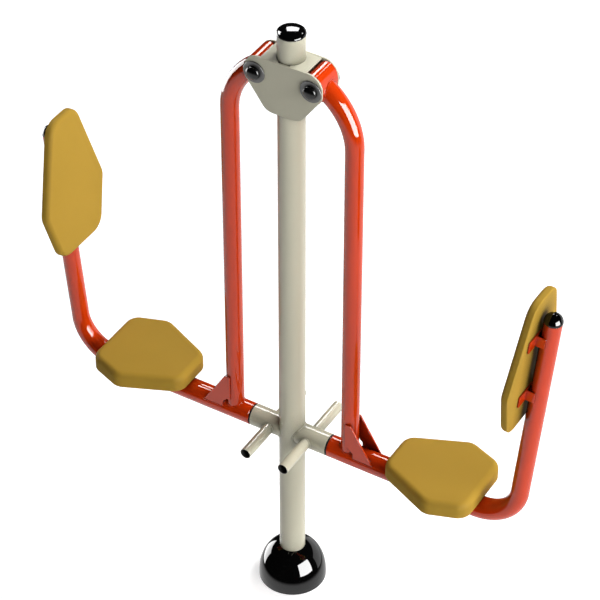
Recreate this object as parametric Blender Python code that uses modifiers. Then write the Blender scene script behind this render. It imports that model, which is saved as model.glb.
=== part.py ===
"""Double pedal trainer: a post with two swinging seats that face each other across fixed foot pegs.

Metres, +Z up. The origin is on the ground at the centre of the post. X runs from seat to seat,
and -Y is the front. Each seat hangs on an arm tube from a bearing hub between the two head plates,
and swings outwards when its user pushes against the pegs.
"""

import math

import bmesh
import bpy
from mathutils import Matrix, Vector

# Clearances
GAP = 0.0003
SPIGOT_CLEARANCE = 0.0009
HUB_END_PLAY = 0.001
OVERRUN = 0.02
MERGE = 0.00002

# Post and base
POST_DIAMETER = 0.0889
POST_WALL = 0.004
POST_ABOVE_HUBS = 0.144
FLANGE_RADIUS = 0.103
FLANGE_THICKNESS = 0.012
ANCHOR_CIRCLE_RADIUS = 0.076
ANCHOR_DIAMETER = 0.016
ANCHOR_HOLE_DIAMETER = 0.018
ANCHOR_PROJECTION = 0.026
NUT_ACROSS_CORNERS = 0.0277
NUT_HEIGHT = 0.013
WASHER_DIAMETER = 0.030
WASHER_THICKNESS = 0.003
COVER_RADIUS = 0.118
COVER_HEIGHT = 0.1415
COVER_WALL = 0.003
COVER_FULLNESS = 2.3
POST_CAP_RADIUS = 0.0458
POST_CAP_RISE = 0.018
POST_CAP_SPIGOT = 0.030
CAP_WALL = 0.003
CAP_RIM = 0.002

# Crossbar, stops and foot pegs
BEAM_DIAMETER = 0.0761
BEAM_WALL = 0.0032
BEAM_HEIGHT = 0.677
STOP_FACE = 0.153
BUFFER_THICKNESS = 0.006
BUFFER_DIAMETER = 0.072
SPIGOT_LENGTH = 0.022
PEG_DIAMETER = 0.038
PEG_WALL = 0.0026
PEG_OFFSET = 0.0724
PEG_REACH = 0.182

# Head
HUB_WIDTH = 0.0761
HUB_TALLNESS = 0.108
HUB_OFFSET = 0.0997
HUB_HEIGHT = 2.138
PLATE_THICKNESS = 0.006
PLATE_HALF_WIDTH = 0.137
PLATE_TOP_RISE = 0.059
PLATE_SHOULDER_DROP = 0.022
PLATE_FOOT_DROP = 0.132
PLATE_FOOT_HALF_WIDTH = 0.059
PLATE_TOP_FILLET = 0.052
PLATE_SHOULDER_FILLET = 0.026
PLATE_FOOT_FILLET = 0.042
DECK_HALF_LENGTH = 0.080
DECK_THICKNESS = 0.005
DECK_MARGIN = 0.005
AXLE_DIAMETER = 0.030
BEARING_DIAMETER = 0.062
BEARING_WIDTH = 0.016
BEARING_GROOVE = 0.0012
BEARING_RACE = 0.0045
AXLE_WASHER_DIAMETER = 0.074
AXLE_WASHER_THICKNESS = 0.005
AXLE_CAP_DIAMETER = 0.046
AXLE_CAP_RISE = 0.016
AXLE_CAP_SKIRT = 0.006
AXLE_CAP_BORE_DEPTH = 0.009

# Swinging arms
ARM_DIAMETER = 0.0603
ARM_TOP_DIAMETER = 0.070
ARM_WALL = 0.003
ARM_OFFSET = 0.2235
ARM_BEND_RADIUS = 0.235
SEAT_BEND_START = 0.7030
SEAT_BEND_RADIUS = 0.150
UPRIGHT_LEAN = math.radians(5.3)
UPRIGHT_RISE = 0.882
UPRIGHT_CAP_RADIUS = 0.0310
UPRIGHT_CAP_RISE = 0.030
UPRIGHT_CAP_SPIGOT = 0.025
GUSSET_THICKNESS = 0.005
GUSSET_RISE = 0.155
GUSSET_TOP_OFFSET = 0.0205
GUSSET_TOE = 0.1065
GUSSET_EDGE = 0.010
GUSSET_NOTCH = 0.018

# Pads
SEAT_INNER_END = 0.391
SEAT_LENGTH = 0.334
SEAT_WIDTH = 0.338
SEAT_THICKNESS = 0.064
SEAT_WIDE_END_WIDTH = 0.244
SEAT_NARROW_END_WIDTH = 0.158
SEAT_WIDEST_FROM_NARROW_END = 0.204
SEAT_CORNER_RADIUS = 0.052
SEAT_FACE_ROUND = 0.024
SEAT_REVERSE_ROUND = 0.005
BACK_DROP = 0.426
BACK_LENGTH = 0.514
BACK_WIDTH = 0.330
BACK_THICKNESS = 0.032
BACK_WIDE_END_WIDTH = 0.226
BACK_NARROW_END_WIDTH = 0.142
BACK_WIDEST_FROM_NARROW_END = 0.318
BACK_CORNER_RADIUS = 0.062
BACK_FACE_ROUND = 0.016
BACK_REVERSE_ROUND = 0.0025
PAD_DRAW_IN = 0.004
PAD_CROWN = 0.003
PAD_CROWN_INSET = 0.020
PAD_SUPPORT_STEP = 0.020
SEAT_PLATE_THICKNESS = 0.005
SEAT_PLATE_LENGTH = 0.220
SEAT_PLATE_WIDTH = 0.150
SEAT_PLATE_FILLET = 0.015
SADDLE_SPACING = 0.140
SADDLE_THICKNESS = 0.006
SADDLE_DEPTH = 0.032
SADDLE_WIDTH = 0.096
BRACKET_STRAP_LENGTH = 0.160
BRACKET_STRAP_HEIGHT = 0.045
BRACKET_STRAP_THICKNESS = 0.005
BRACKET_STRAP_FILLET = 0.006
BRACKET_CHEEK_THICKNESS = 0.004
BRACKET_CHEEK_HEIGHT = 0.040
BRACKET_SPACING = 0.231
BRACKET_CENTRE_FROM_TOP = 0.071

# Mesh fineness, as counts
TUBE_RESOLUTION = 8
TURN_STEPS = 32
SMALL_TURN_STEPS = 20
BOLT_STEPS = 12
CUTTER_STEPS = 48
BEND_STEPS = 9
CORNER_STEPS = 3
PAD_CORNER_STEPS = 1
DOME_STEPS = 5
COVER_STEPS = 7

# Radii and levels that follow from the sizes above
POST_RADIUS = POST_DIAMETER / 2
BEAM_RADIUS = BEAM_DIAMETER / 2
ARM_RADIUS = ARM_DIAMETER / 2
AXLE_RADIUS = AXLE_DIAMETER / 2
PEG_RADIUS = PEG_DIAMETER / 2
PLATE_INNER_FACE = POST_RADIUS + GAP
PLATE_OUTER_FACE = PLATE_INNER_FACE + PLATE_THICKNESS
HUB_HALF_LENGTH = PLATE_INNER_FACE - HUB_END_PLAY
BEAM_TOP = BEAM_HEIGHT + BEAM_RADIUS
POST_TOP = HUB_HEIGHT + POST_ABOVE_HUBS
UPRIGHT_TOP = BEAM_HEIGHT + UPRIGHT_RISE
BACK_BOTTOM = UPRIGHT_TOP - BACK_DROP
SEAT_PLATE_BASE = BEAM_TOP + GAP
SEAT_BASE = SEAT_PLATE_BASE + SEAT_PLATE_THICKNESS + GAP
STRAP_FACE = ARM_RADIUS + GAP
BACK_STANDOFF = STRAP_FACE + BRACKET_STRAP_THICKNESS + GAP

X_AXIS = Vector((1, 0, 0))
Y_AXIS = Vector((0, 1, 0))
Z_AXIS = Vector((0, 0, 1))

SIDES = {"left": -1, "right": 1}
ENDS = {"front": -1, "rear": 1}

FINISHES = {
    "orange_paint": ((0.80, 0.055, 0.005, 1), 0.22, 0.0),
    "cream_paint": ((0.76, 0.71, 0.58, 1), 0.32, 0.0),
    "pad_moulding": ((0.54, 0.33, 0.045, 1), 0.6, 0.0),
    "black_plastic": ((0.004, 0.004, 0.004, 1), 0.08, 0.0),
    "rubber": ((0.02, 0.02, 0.02, 1), 0.8, 0.0),
    "zinc_steel": ((0.42, 0.42, 0.4, 1), 0.35, 1.0),
}


def clear_scene():
    """Removes every object, so that the script can be run again from the text editor."""
    for item in list(bpy.data.objects):
        bpy.data.objects.remove(item, do_unlink=True)


def new_collection(name):
    """A collection linked to the scene."""
    group = bpy.data.collections.new(name)
    bpy.context.scene.collection.children.link(group)
    return group


def make_materials():
    """One Principled material for each finish."""
    made = {}
    for name, (colour, roughness, metallic) in FINISHES.items():
        material = bpy.data.materials.new(name)
        material.use_nodes = True
        shader = material.node_tree.nodes["Principled BSDF"]
        shader.inputs["Base Color"].default_value = colour
        shader.inputs["Roughness"].default_value = roughness
        shader.inputs["Metallic"].default_value = metallic
        material.diffuse_color = colour
        made[name] = material
    return made


def basis(origin, x_direction, z_direction):
    """A matrix at origin whose X and Z axes point along two directions square to each other."""
    x = Vector(x_direction).normalized()
    z = Vector(z_direction).normalized()
    y = z.cross(x)
    turn = Matrix((x, y, z)).transposed()
    return Matrix.Translation(origin) @ turn.to_4x4()


def along(origin, direction):
    """A matrix at origin whose Z axis points along a direction in the XZ or YZ plane."""
    helper = X_AXIS if abs(direction.x) < abs(direction.y) + abs(direction.z) else Y_AXIS
    side = helper.cross(direction).normalized()
    return basis(origin, side, direction)


class Builder:
    """Adds named objects to the part's collection, and cutters to theirs."""

    def __init__(self):
        self.part = new_collection("double_pedal_trainer")
        self.cutters = new_collection("cutters")
        self.materials = make_materials()
        self.parent = None

    def add(self, name, mesh, matrix, finish):
        """An object of the part, on the current parent."""
        item = bpy.data.objects.new(name, mesh)
        item.matrix_world = matrix
        mesh.materials.clear()
        mesh.materials.append(self.materials[finish])
        self.part.objects.link(item)
        if self.parent:
            item.parent = self.parent
            item.matrix_parent_inverse = self.parent.matrix_world.inverted()
        return item

    def cutter(self, name, mesh, matrix):
        """A solid that shapes other objects and isn't part of the object."""
        item = bpy.data.objects.new(name, mesh)
        item.matrix_world = matrix
        item.hide_render = True
        item.display_type = "WIRE"
        self.cutters.objects.link(item)
        return item

    def pivot(self, name, location):
        """An empty on a joint's axis, which becomes the parent of what is added next."""
        empty = bpy.data.objects.new(name, None)
        empty.location = location
        self.part.objects.link(empty)
        bpy.context.view_layer.update()
        self.parent = empty


def combine(item, tool, operation):
    """Leaves a Boolean modifier on an object."""
    boolean = item.modifiers.new(operation.lower(), "BOOLEAN")
    boolean.operation = operation
    boolean.solver = "EXACT"
    boolean.object = tool


def weld(mesh):
    """Joins the loose caps of a mesh made from a curve, and turns its faces outwards."""
    work = bmesh.new()
    work.from_mesh(mesh)
    bmesh.ops.remove_doubles(work, verts=work.verts, dist=MERGE)
    bmesh.ops.recalc_face_normals(work, faces=work.faces)
    work.to_mesh(mesh)
    work.free()


def mesh_of_curve(curve):
    """The welded mesh of a curve."""
    holder = bpy.data.objects.new(curve.name, curve)
    bpy.context.scene.collection.objects.link(holder)
    bpy.context.view_layer.update()
    evaluated = holder.evaluated_get(bpy.context.evaluated_depsgraph_get())
    mesh = bpy.data.meshes.new_from_object(evaluated)
    bpy.data.objects.remove(holder, do_unlink=True)
    bpy.data.curves.remove(curve)
    weld(mesh)
    return mesh


def smooth(mesh):
    """Shades round sides smooth and keeps the edges of end faces sharp."""
    mesh.shade_smooth()
    mesh.set_sharp_from_angle(angle=math.radians(35))


def swept_tube(name, path, radii):
    """A round bar along a path of points, with a radius for each."""
    curve = bpy.data.curves.new(name, "CURVE")
    curve.dimensions = "3D"
    curve.bevel_depth = max(radii)
    curve.bevel_resolution = TUBE_RESOLUTION
    curve.use_fill_caps = True
    spline = curve.splines.new("POLY")
    spline.points.add(len(path) - 1)
    for point, place, radius in zip(spline.points, path, radii):
        point.co = (*place, 1)
        point.radius = radius / curve.bevel_depth
    mesh = mesh_of_curve(curve)
    smooth(mesh)
    return mesh


def flat_plate(name, outline, holes, thickness):
    """A plate of even thickness about its middle plane, from an outline and holes in XY."""
    curve = bpy.data.curves.new(name, "CURVE")
    curve.dimensions = "2D"
    curve.fill_mode = "BOTH"
    curve.extrude = thickness / 2
    for loop in [outline, *holes]:
        spline = curve.splines.new("POLY")
        spline.points.add(len(loop) - 1)
        for point, (x, y) in zip(spline.points, loop):
            point.co = (x, y, 0, 1)
        spline.use_cyclic_u = True
    return mesh_of_curve(curve)


def circle_points(x, y, radius, count=SMALL_TURN_STEPS):
    """Points round a circle."""
    turns = [2 * math.pi * step / count for step in range(count)]
    return [(x + radius * math.cos(turn), y + radius * math.sin(turn)) for turn in turns]


def rounded_outline(corners, steps=CORNER_STEPS, support=0.0):
    """Points round a polygon with filleted corners, each as (x, y, outward x, outward y).

    A corner is (x, y, fillet radius), anticlockwise. With a support length, one more point stands
    on the straight at each end of every fillet.
    """
    points = []
    for index, (x, y, radius) in enumerate(corners):
        before = Vector(corners[index - 1][:2])
        after = Vector(corners[(index + 1) % len(corners)][:2])
        corner = Vector((x, y))
        inward = (corner - before).normalized()
        outward = (after - corner).normalized()
        turn = inward.angle_signed(outward) * -1
        reach = radius * math.tan(abs(turn) / 2)
        first_normal = Vector((inward.y, -inward.x))
        centre = corner - inward * reach - first_normal * radius
        if support:
            spot = corner - inward * (reach + support)
            points.append((*spot, *first_normal))
        for step in range(steps + 1):
            angle = turn * step / steps
            normal = Matrix.Rotation(angle, 2) @ first_normal
            points.append((*(centre + normal * radius), *normal))
        if support:
            last_normal = Vector((outward.y, -outward.x))
            spot = corner + outward * (reach + support)
            points.append((*spot, *last_normal))
    return points


def places(outline):
    """The positions of an outline's points."""
    return [(x, y) for x, y, _, _ in outline]


def turned(mesh_name, profile, closed):
    """A mesh that holds a profile of (radius, height) points, ready for turning about Z."""
    mesh = bpy.data.meshes.new(mesh_name)
    count = len(profile)
    edges = [(index, index + 1) for index in range(count - 1)]
    if closed:
        edges.append((count - 1, 0))
    mesh.from_pydata([(radius, 0, height) for radius, height in profile], edges, [])
    return mesh


def turn_modifier(item, steps):
    """Turns a profile about the object's Z axis."""
    screw = item.modifiers.new("turn", "SCREW")
    screw.axis = "Z"
    screw.angle = 2 * math.pi
    screw.steps = steps
    screw.render_steps = steps
    screw.use_merge_vertices = True
    screw.merge_threshold = MERGE
    screw.use_smooth_shade = True


def turned_part(builder, name, profile, matrix, finish, closed=False, steps=TURN_STEPS):
    """A turned piece: an open profile starts and ends on the axis, a closed one makes a ring."""
    item = builder.add(name, turned(name, profile, closed), matrix, finish)
    turn_modifier(item, steps)
    return item


def oval_points(half_width, half_height):
    """Points round an upright oval."""
    turns = [2 * math.pi * step / TURN_STEPS for step in range(TURN_STEPS)]
    return [(half_width * math.cos(turn), half_height * math.sin(turn)) for turn in turns]


def ring_profile(outer, inner, low, high):
    """The section of a plain ring: down its outer side, then up its bore."""
    return [(outer, high), (outer, low), (inner, low), (inner, high)]


def dome_profile(radius, base, rise, rim):
    """A dome from its crown down to its rim, with a short straight rim below it."""
    points = [(0, base + rise)]
    for step in range(1, DOME_STEPS + 1):
        angle = math.pi / 2 * step / DOME_STEPS
        points.append((radius * math.sin(angle), base + rim + (rise - rim) * math.cos(angle)))
    points.append((radius, base))
    return points


def round_bar(builder, name, radius, start, end):
    """A straight cylinder for cutting."""
    length = (end - start).length
    work = bmesh.new()
    bmesh.ops.create_cone(
        work,
        cap_ends=True,
        segments=CUTTER_STEPS,
        radius1=radius,
        radius2=radius,
        depth=length,
    )
    mesh = bpy.data.meshes.new(name)
    work.to_mesh(mesh)
    work.free()
    return builder.cutter(name, mesh, along((start + end) / 2, (end - start).normalized()))


def block_mesh(name, size):
    """A box about its centre."""
    work = bmesh.new()
    bmesh.ops.create_cube(work, size=1)
    bmesh.ops.scale(work, vec=size, verts=work.verts)
    mesh = bpy.data.meshes.new(name)
    work.to_mesh(mesh)
    work.free()
    return mesh


def hollow_tube(builder, name, path, radii, wall, finish):
    """A tube along a path, with its bore cut right through."""
    item = builder.add(name, swept_tube(name, path, radii), Matrix(), finish)
    first = path[0] - (path[1] - path[0]).normalized() * OVERRUN
    last = path[-1] + (path[-1] - path[-2]).normalized() * OVERRUN
    bore_path = [first, *path, last]
    bore_radii = [radius - wall for radius in (radii[0], *radii, radii[-1])]
    bore = builder.cutter(f"{name}_bore", swept_tube(f"{name}_bore", bore_path, bore_radii), Matrix())
    combine(item, bore, "DIFFERENCE")
    return item


def build_base(builder):
    """The bolted foot flange, its anchors and the domed cover over them."""
    holes = []
    for index in range(4):
        angle = math.pi / 4 + math.pi / 2 * index
        spot = Vector((math.cos(angle), math.sin(angle), 0)) * ANCHOR_CIRCLE_RADIUS
        holes.append(circle_points(spot.x, spot.y, ANCHOR_HOLE_DIAMETER / 2, BOLT_STEPS))
        build_anchor(builder, f"anchor_bolt_{index + 1}", spot)
    outline = circle_points(0, 0, FLANGE_RADIUS, TURN_STEPS)
    flange = flat_plate("base_flange", outline, holes, FLANGE_THICKNESS)
    builder.add("base_flange", flange, Matrix.Translation((0, 0, FLANGE_THICKNESS / 2)), "zinc_steel")

    opening = POST_RADIUS + 2 * GAP
    turned_part(
        builder,
        "base_cover",
        cover_profile(opening),
        Matrix(),
        "black_plastic",
        closed=True,
        steps=TURN_STEPS,
    )


def cover_profile(opening):
    """The section of the domed cover: down its outside, then up its inside."""
    outside = bell_curve(COVER_RADIUS, COVER_HEIGHT, opening)
    inside = bell_curve(COVER_RADIUS - COVER_WALL, COVER_HEIGHT - COVER_WALL, opening)
    return outside + inside[::-1]


def bell_curve(radius, height, opening):
    """Points down a quarter of a full-shouldered oval, from an opening to its widest ring."""
    power = 2 / COVER_FULLNESS
    first = math.acos((opening / radius) ** (1 / power))
    full_height = height / math.sin(first) ** power
    points = []
    for step in range(COVER_STEPS + 1):
        angle = first * (1 - step / COVER_STEPS)
        points.append((radius * math.cos(angle) ** power, full_height * math.sin(angle) ** power))
    return points


def build_anchor(builder, name, spot):
    """A ground anchor: its stud, washer and nut as they stand on the flange."""
    stud = ANCHOR_DIAMETER / 2
    seat = FLANGE_THICKNESS + GAP
    washer_top = seat + WASHER_THICKNESS
    top = washer_top + NUT_HEIGHT + ANCHOR_PROJECTION / 2
    profile = [
        (0, top),
        (stud, top),
        (stud, washer_top),
        (WASHER_DIAMETER / 2, washer_top),
        (WASHER_DIAMETER / 2, seat),
        (stud, seat),
        (stud, 0),
        (0, 0),
    ]
    item = turned_part(
        builder,
        name,
        profile,
        Matrix.Translation(spot),
        "zinc_steel",
        steps=BOLT_STEPS,
    )
    work = bmesh.new()
    bmesh.ops.create_cone(
        work,
        cap_ends=True,
        segments=6,
        radius1=NUT_ACROSS_CORNERS / 2,
        radius2=NUT_ACROSS_CORNERS / 2,
        depth=NUT_HEIGHT,
    )
    mesh = bpy.data.meshes.new(f"{name}_nut")
    work.to_mesh(mesh)
    work.free()
    overlap = min(GAP, WASHER_THICKNESS)
    centre = spot + Z_AXIS * (washer_top + NUT_HEIGHT / 2 - overlap)
    nut = builder.cutter(f"{name}_nut", mesh, Matrix.Translation(centre))
    combine(item, nut, "UNION")


def build_post(builder):
    """The post tube on its flange, and the domed cap in its top."""
    foot = FLANGE_THICKNESS + GAP
    turned_part(
        builder,
        "post",
        ring_profile(POST_RADIUS, POST_RADIUS - POST_WALL, foot, POST_TOP),
        Matrix(),
        "cream_paint",
        closed=True,
    )
    plug_cap(
        builder,
        "post_cap",
        along(Vector((0, 0, POST_TOP + GAP)), Z_AXIS),
        POST_CAP_RADIUS,
        POST_CAP_RISE,
        POST_RADIUS - POST_WALL - SPIGOT_CLEARANCE,
        POST_CAP_SPIGOT,
    )


def plug_cap(builder, name, matrix, radius, rise, spigot_radius, spigot_length):
    """A domed plug for a tube's end: its hollow spigot stands in the tube's bore."""
    bore = spigot_radius - CAP_WALL
    profile = [
        *dome_profile(radius, 0, rise, CAP_RIM),
        (spigot_radius, 0),
        (spigot_radius, -spigot_length),
        (bore, -spigot_length),
        (bore, 0),
        (0, 0),
    ]
    turned_part(builder, name, profile, matrix, "black_plastic", steps=SMALL_TURN_STEPS)


def build_crossbar(builder):
    """The crossbar stubs, their rubber buffers and the four foot pegs."""
    post_tool = round_bar(
        builder,
        "post_clearance",
        POST_RADIUS + GAP,
        Vector((0, 0, BEAM_HEIGHT - BEAM_DIAMETER)),
        Vector((0, 0, BEAM_HEIGHT + BEAM_DIAMETER)),
    )
    bar_tool = round_bar(
        builder,
        "crossbar_clearance",
        BEAM_RADIUS + GAP,
        Vector((-STOP_FACE, 0, BEAM_HEIGHT)),
        Vector((STOP_FACE, 0, BEAM_HEIGHT)),
    )
    bar_end = STOP_FACE - BUFFER_THICKNESS - 2 * GAP
    for side_name, side in SIDES.items():
        path = [Vector((0, 0, BEAM_HEIGHT)), Vector((side * bar_end, 0, BEAM_HEIGHT))]
        bar = hollow_tube(
            builder,
            f"crossbar_{side_name}",
            path,
            [BEAM_RADIUS, BEAM_RADIUS],
            BEAM_WALL,
            "cream_paint",
        )
        combine(bar, post_tool, "DIFFERENCE")

        spigot = BEAM_RADIUS - BEAM_WALL - SPIGOT_CLEARANCE
        buffer_profile = [
            (0, BUFFER_THICKNESS),
            (BUFFER_DIAMETER / 2, BUFFER_THICKNESS),
            (BUFFER_DIAMETER / 2, 0),
            (spigot, 0),
            (spigot, -SPIGOT_LENGTH),
            (0, -SPIGOT_LENGTH),
        ]
        seat = Vector((side * (bar_end + GAP), 0, BEAM_HEIGHT))
        turned_part(
            builder,
            f"stop_buffer_{side_name}",
            buffer_profile,
            along(seat, X_AXIS * side),
            "rubber",
            steps=SMALL_TURN_STEPS,
        )
        for end_name, end in ENDS.items():
            start = Vector((side * PEG_OFFSET, 0, BEAM_HEIGHT))
            peg = hollow_tube(
                builder,
                f"foot_peg_{end_name}_{side_name}",
                [start, start + Y_AXIS * end * PEG_REACH],
                [PEG_RADIUS, PEG_RADIUS],
                PEG_WALL,
                "cream_paint",
            )
            combine(peg, bar_tool, "DIFFERENCE")


def head_plate_outline():
    """The head plate's outline in X and Z, about the hubs' height."""
    top = PLATE_TOP_RISE
    shoulder = -PLATE_SHOULDER_DROP
    foot = -PLATE_FOOT_DROP
    corners = [
        (-PLATE_FOOT_HALF_WIDTH, foot, PLATE_FOOT_FILLET),
        (PLATE_FOOT_HALF_WIDTH, foot, PLATE_FOOT_FILLET),
        (PLATE_HALF_WIDTH, shoulder, PLATE_SHOULDER_FILLET),
        (PLATE_HALF_WIDTH, top, PLATE_TOP_FILLET),
        (-PLATE_HALF_WIDTH, top, PLATE_TOP_FILLET),
        (-PLATE_HALF_WIDTH, shoulder, PLATE_SHOULDER_FILLET),
    ]
    return places(rounded_outline(corners, steps=5))


def build_head(builder):
    """The two head plates, the deck between them, and each hub's axle, washers and caps."""
    bore = AXLE_RADIUS + GAP
    holes = [circle_points(side * HUB_OFFSET, 0, bore) for side in SIDES.values()]
    middle = PLATE_INNER_FACE + PLATE_THICKNESS / 2
    for end_name, end in ENDS.items():
        name = f"head_plate_{end_name}"
        mesh = flat_plate(name, head_plate_outline(), holes, PLATE_THICKNESS)
        matrix = basis(Vector((0, end * middle, HUB_HEIGHT)), X_AXIS, -Y_AXIS)
        builder.add(name, mesh, matrix, "cream_paint")

    for side_name, side in SIDES.items():
        name = f"head_deck_{side_name}"
        mesh = flat_plate(name, deck_outline(side), [], DECK_THICKNESS)
        height = HUB_HEIGHT + PLATE_TOP_RISE - DECK_THICKNESS / 2
        builder.add(name, mesh, Matrix.Translation((0, 0, height)), "cream_paint")
        build_axle(builder, side_name, side)


def deck_outline(side):
    """Half of the deck between the head plates, hollowed to go round the post."""
    half_width = PLATE_INNER_FACE - GAP
    post = POST_RADIUS + GAP
    start_width = half_width - DECK_MARGIN
    first = math.asin(start_width / post)
    edge = post * math.cos(first)
    steps = SMALL_TURN_STEPS // 2
    points = [(edge, -half_width), (DECK_HALF_LENGTH, -half_width)]
    points += [(DECK_HALF_LENGTH, half_width), (edge, half_width)]
    for step in range(steps + 1):
        angle = first - 2 * first * step / steps
        points.append((post * math.cos(angle), post * math.sin(angle)))
    return [(side * x, y) for x, y in points]


def build_axle(builder, side_name, side):
    """One axle through both plates, with a washer and a domed cap nut on each end."""
    centre = Vector((side * HUB_OFFSET, 0, HUB_HEIGHT))
    washer_face = PLATE_OUTER_FACE + GAP
    cap_face = washer_face + AXLE_WASHER_THICKNESS + GAP
    half = cap_face + AXLE_CAP_BORE_DEPTH - GAP
    turned_part(
        builder,
        f"axle_{side_name}",
        [(0, half), (AXLE_RADIUS, half), (AXLE_RADIUS, -half), (0, -half)],
        along(centre, Y_AXIS),
        "zinc_steel",
        steps=SMALL_TURN_STEPS,
    )
    bore = AXLE_RADIUS + GAP
    for end_name, end in ENDS.items():
        outward = Y_AXIS * end
        turned_part(
            builder,
            f"axle_washer_{end_name}_{side_name}",
            ring_profile(AXLE_WASHER_DIAMETER / 2, bore, 0, AXLE_WASHER_THICKNESS),
            along(centre + outward * washer_face, outward),
            "zinc_steel",
            closed=True,
            steps=SMALL_TURN_STEPS,
        )
        profile = [
            *dome_profile(AXLE_CAP_DIAMETER / 2, 0, AXLE_CAP_RISE, AXLE_CAP_SKIRT),
            (bore, 0),
            (bore, AXLE_CAP_BORE_DEPTH),
            (0, AXLE_CAP_BORE_DEPTH),
        ]
        turned_part(
            builder,
            f"axle_cap_{end_name}_{side_name}",
            profile,
            along(centre + outward * cap_face, outward),
            "black_plastic",
            steps=SMALL_TURN_STEPS,
        )


def arm_path(side):
    """The arm tube's middle line and radii: up, then bent in and widened towards the hub."""
    inward = ARM_OFFSET - HUB_OFFSET
    bend = math.acos(1 - inward / ARM_BEND_RADIUS)
    bend_start = HUB_HEIGHT - ARM_BEND_RADIUS * math.sin(bend)
    points = [Vector((side * ARM_OFFSET, 0, BEAM_HEIGHT))]
    radii = [ARM_RADIUS]
    for step in range(BEND_STEPS + 1):
        share = step / BEND_STEPS
        angle = bend * share
        x = ARM_OFFSET - ARM_BEND_RADIUS * (1 - math.cos(angle))
        points.append(Vector((side * x, 0, bend_start + ARM_BEND_RADIUS * math.sin(angle))))
        radii.append(ARM_RADIUS + (ARM_TOP_DIAMETER / 2 - ARM_RADIUS) * share)
    return points, radii


def upright_point(side, height):
    """The point of the upright's middle line at a height."""
    turn = math.pi / 2 - UPRIGHT_LEAN
    x = SEAT_BEND_START + SEAT_BEND_RADIUS * math.sin(turn)
    z = BEAM_HEIGHT + SEAT_BEND_RADIUS * (1 - math.cos(turn))
    return Vector((side * (x + (height - z) * math.tan(UPRIGHT_LEAN)), 0, height))


def beam_path(side):
    """The seat beam's middle line and radii: out, through the swaged bend, and up the upright."""
    start = STOP_FACE + 2 * GAP + BUFFER_THICKNESS / 2
    points = [Vector((side * start, 0, BEAM_HEIGHT))]
    radii = [BEAM_RADIUS]
    for step in range(BEND_STEPS + 1):
        share = step / BEND_STEPS
        angle = (math.pi / 2 - UPRIGHT_LEAN) * share
        x = SEAT_BEND_START + SEAT_BEND_RADIUS * math.sin(angle)
        z = BEAM_HEIGHT + SEAT_BEND_RADIUS * (1 - math.cos(angle))
        points.append(Vector((side * x, 0, z)))
        radii.append(BEAM_RADIUS + (ARM_RADIUS - BEAM_RADIUS) * share)
    points.append(upright_point(side, UPRIGHT_TOP))
    radii.append(ARM_RADIUS)
    return points, radii


def build_arm(builder, side_name, side):
    """One swinging seat: hub, arm tube, seat beam with its upright, gussets and pads."""
    hub_centre = Vector((side * HUB_OFFSET, 0, HUB_HEIGHT))
    builder.pivot(f"{side_name}_pivot", hub_centre)
    build_hub(builder, side_name, hub_centre)
    hub_tool = builder.cutter(
        f"{side_name}_hub_clearance",
        flat_plate(
            f"{side_name}_hub_clearance",
            oval_points(HUB_WIDTH / 2 + GAP, HUB_TALLNESS / 2 + GAP),
            [],
            2 * (HUB_HALF_LENGTH + OVERRUN),
        ),
        basis(hub_centre, X_AXIS, -Y_AXIS),
    )
    beam_tool = round_bar(
        builder,
        f"{side_name}_beam_clearance",
        BEAM_RADIUS + GAP,
        Vector((side * STOP_FACE, 0, BEAM_HEIGHT)),
        Vector((side * SEAT_BEND_START, 0, BEAM_HEIGHT)),
    )
    path, radii = arm_path(side)
    arm = hollow_tube(
        builder,
        f"{side_name}_arm_tube",
        path,
        radii,
        ARM_WALL,
        "orange_paint",
    )
    combine(arm, hub_tool, "DIFFERENCE")
    combine(arm, beam_tool, "DIFFERENCE")

    path, radii = beam_path(side)
    hollow_tube(builder, f"{side_name}_seat_beam", path, radii, BEAM_WALL, "orange_paint")
    build_beam_plug(builder, side_name, side, path[0])
    build_gussets(builder, side_name, side, beam_tool)
    build_seat(builder, side_name, side, beam_tool)
    build_backrest(builder, side_name, side)
    lean = (upright_point(side, UPRIGHT_TOP) - upright_point(side, BACK_BOTTOM)).normalized()
    plug_cap(
        builder,
        f"{side_name}_upright_cap",
        along(upright_point(side, UPRIGHT_TOP) + lean * GAP, lean),
        UPRIGHT_CAP_RADIUS,
        UPRIGHT_CAP_RISE,
        ARM_RADIUS - BEAM_WALL - SPIGOT_CLEARANCE,
        UPRIGHT_CAP_SPIGOT,
    )
    builder.parent = None


def build_hub(builder, side_name, centre):
    """The upright oval hub with its round bore, and the two ball bearings in its ends."""
    name = f"{side_name}_hub"
    oval = oval_points(HUB_WIDTH / 2, HUB_TALLNESS / 2)
    bore = circle_points(0, 0, BEARING_DIAMETER / 2 + SPIGOT_CLEARANCE)
    mesh = flat_plate(name, oval, [bore], 2 * HUB_HALF_LENGTH)
    smooth(mesh)
    builder.add(name, mesh, basis(centre, X_AXIS, -Y_AXIS), "orange_paint")
    outer = BEARING_DIAMETER / 2
    inner = AXLE_RADIUS + GAP
    lip = BEARING_GROOVE
    race = BEARING_RACE
    profile = [
        (outer, BEARING_WIDTH),
        (outer, 0),
        (inner, 0),
        (inner, BEARING_WIDTH),
        (inner + race, BEARING_WIDTH),
        (inner + race, BEARING_WIDTH - lip),
        (outer - race, BEARING_WIDTH - lip),
        (outer - race, BEARING_WIDTH),
    ]
    for end_name, end in ENDS.items():
        outward = Y_AXIS * end
        turned_part(
            builder,
            f"{side_name}_bearing_{end_name}",
            profile,
            along(centre + outward * (HUB_HALF_LENGTH - BEARING_WIDTH), outward),
            "zinc_steel",
            closed=True,
            steps=SMALL_TURN_STEPS,
        )


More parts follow.
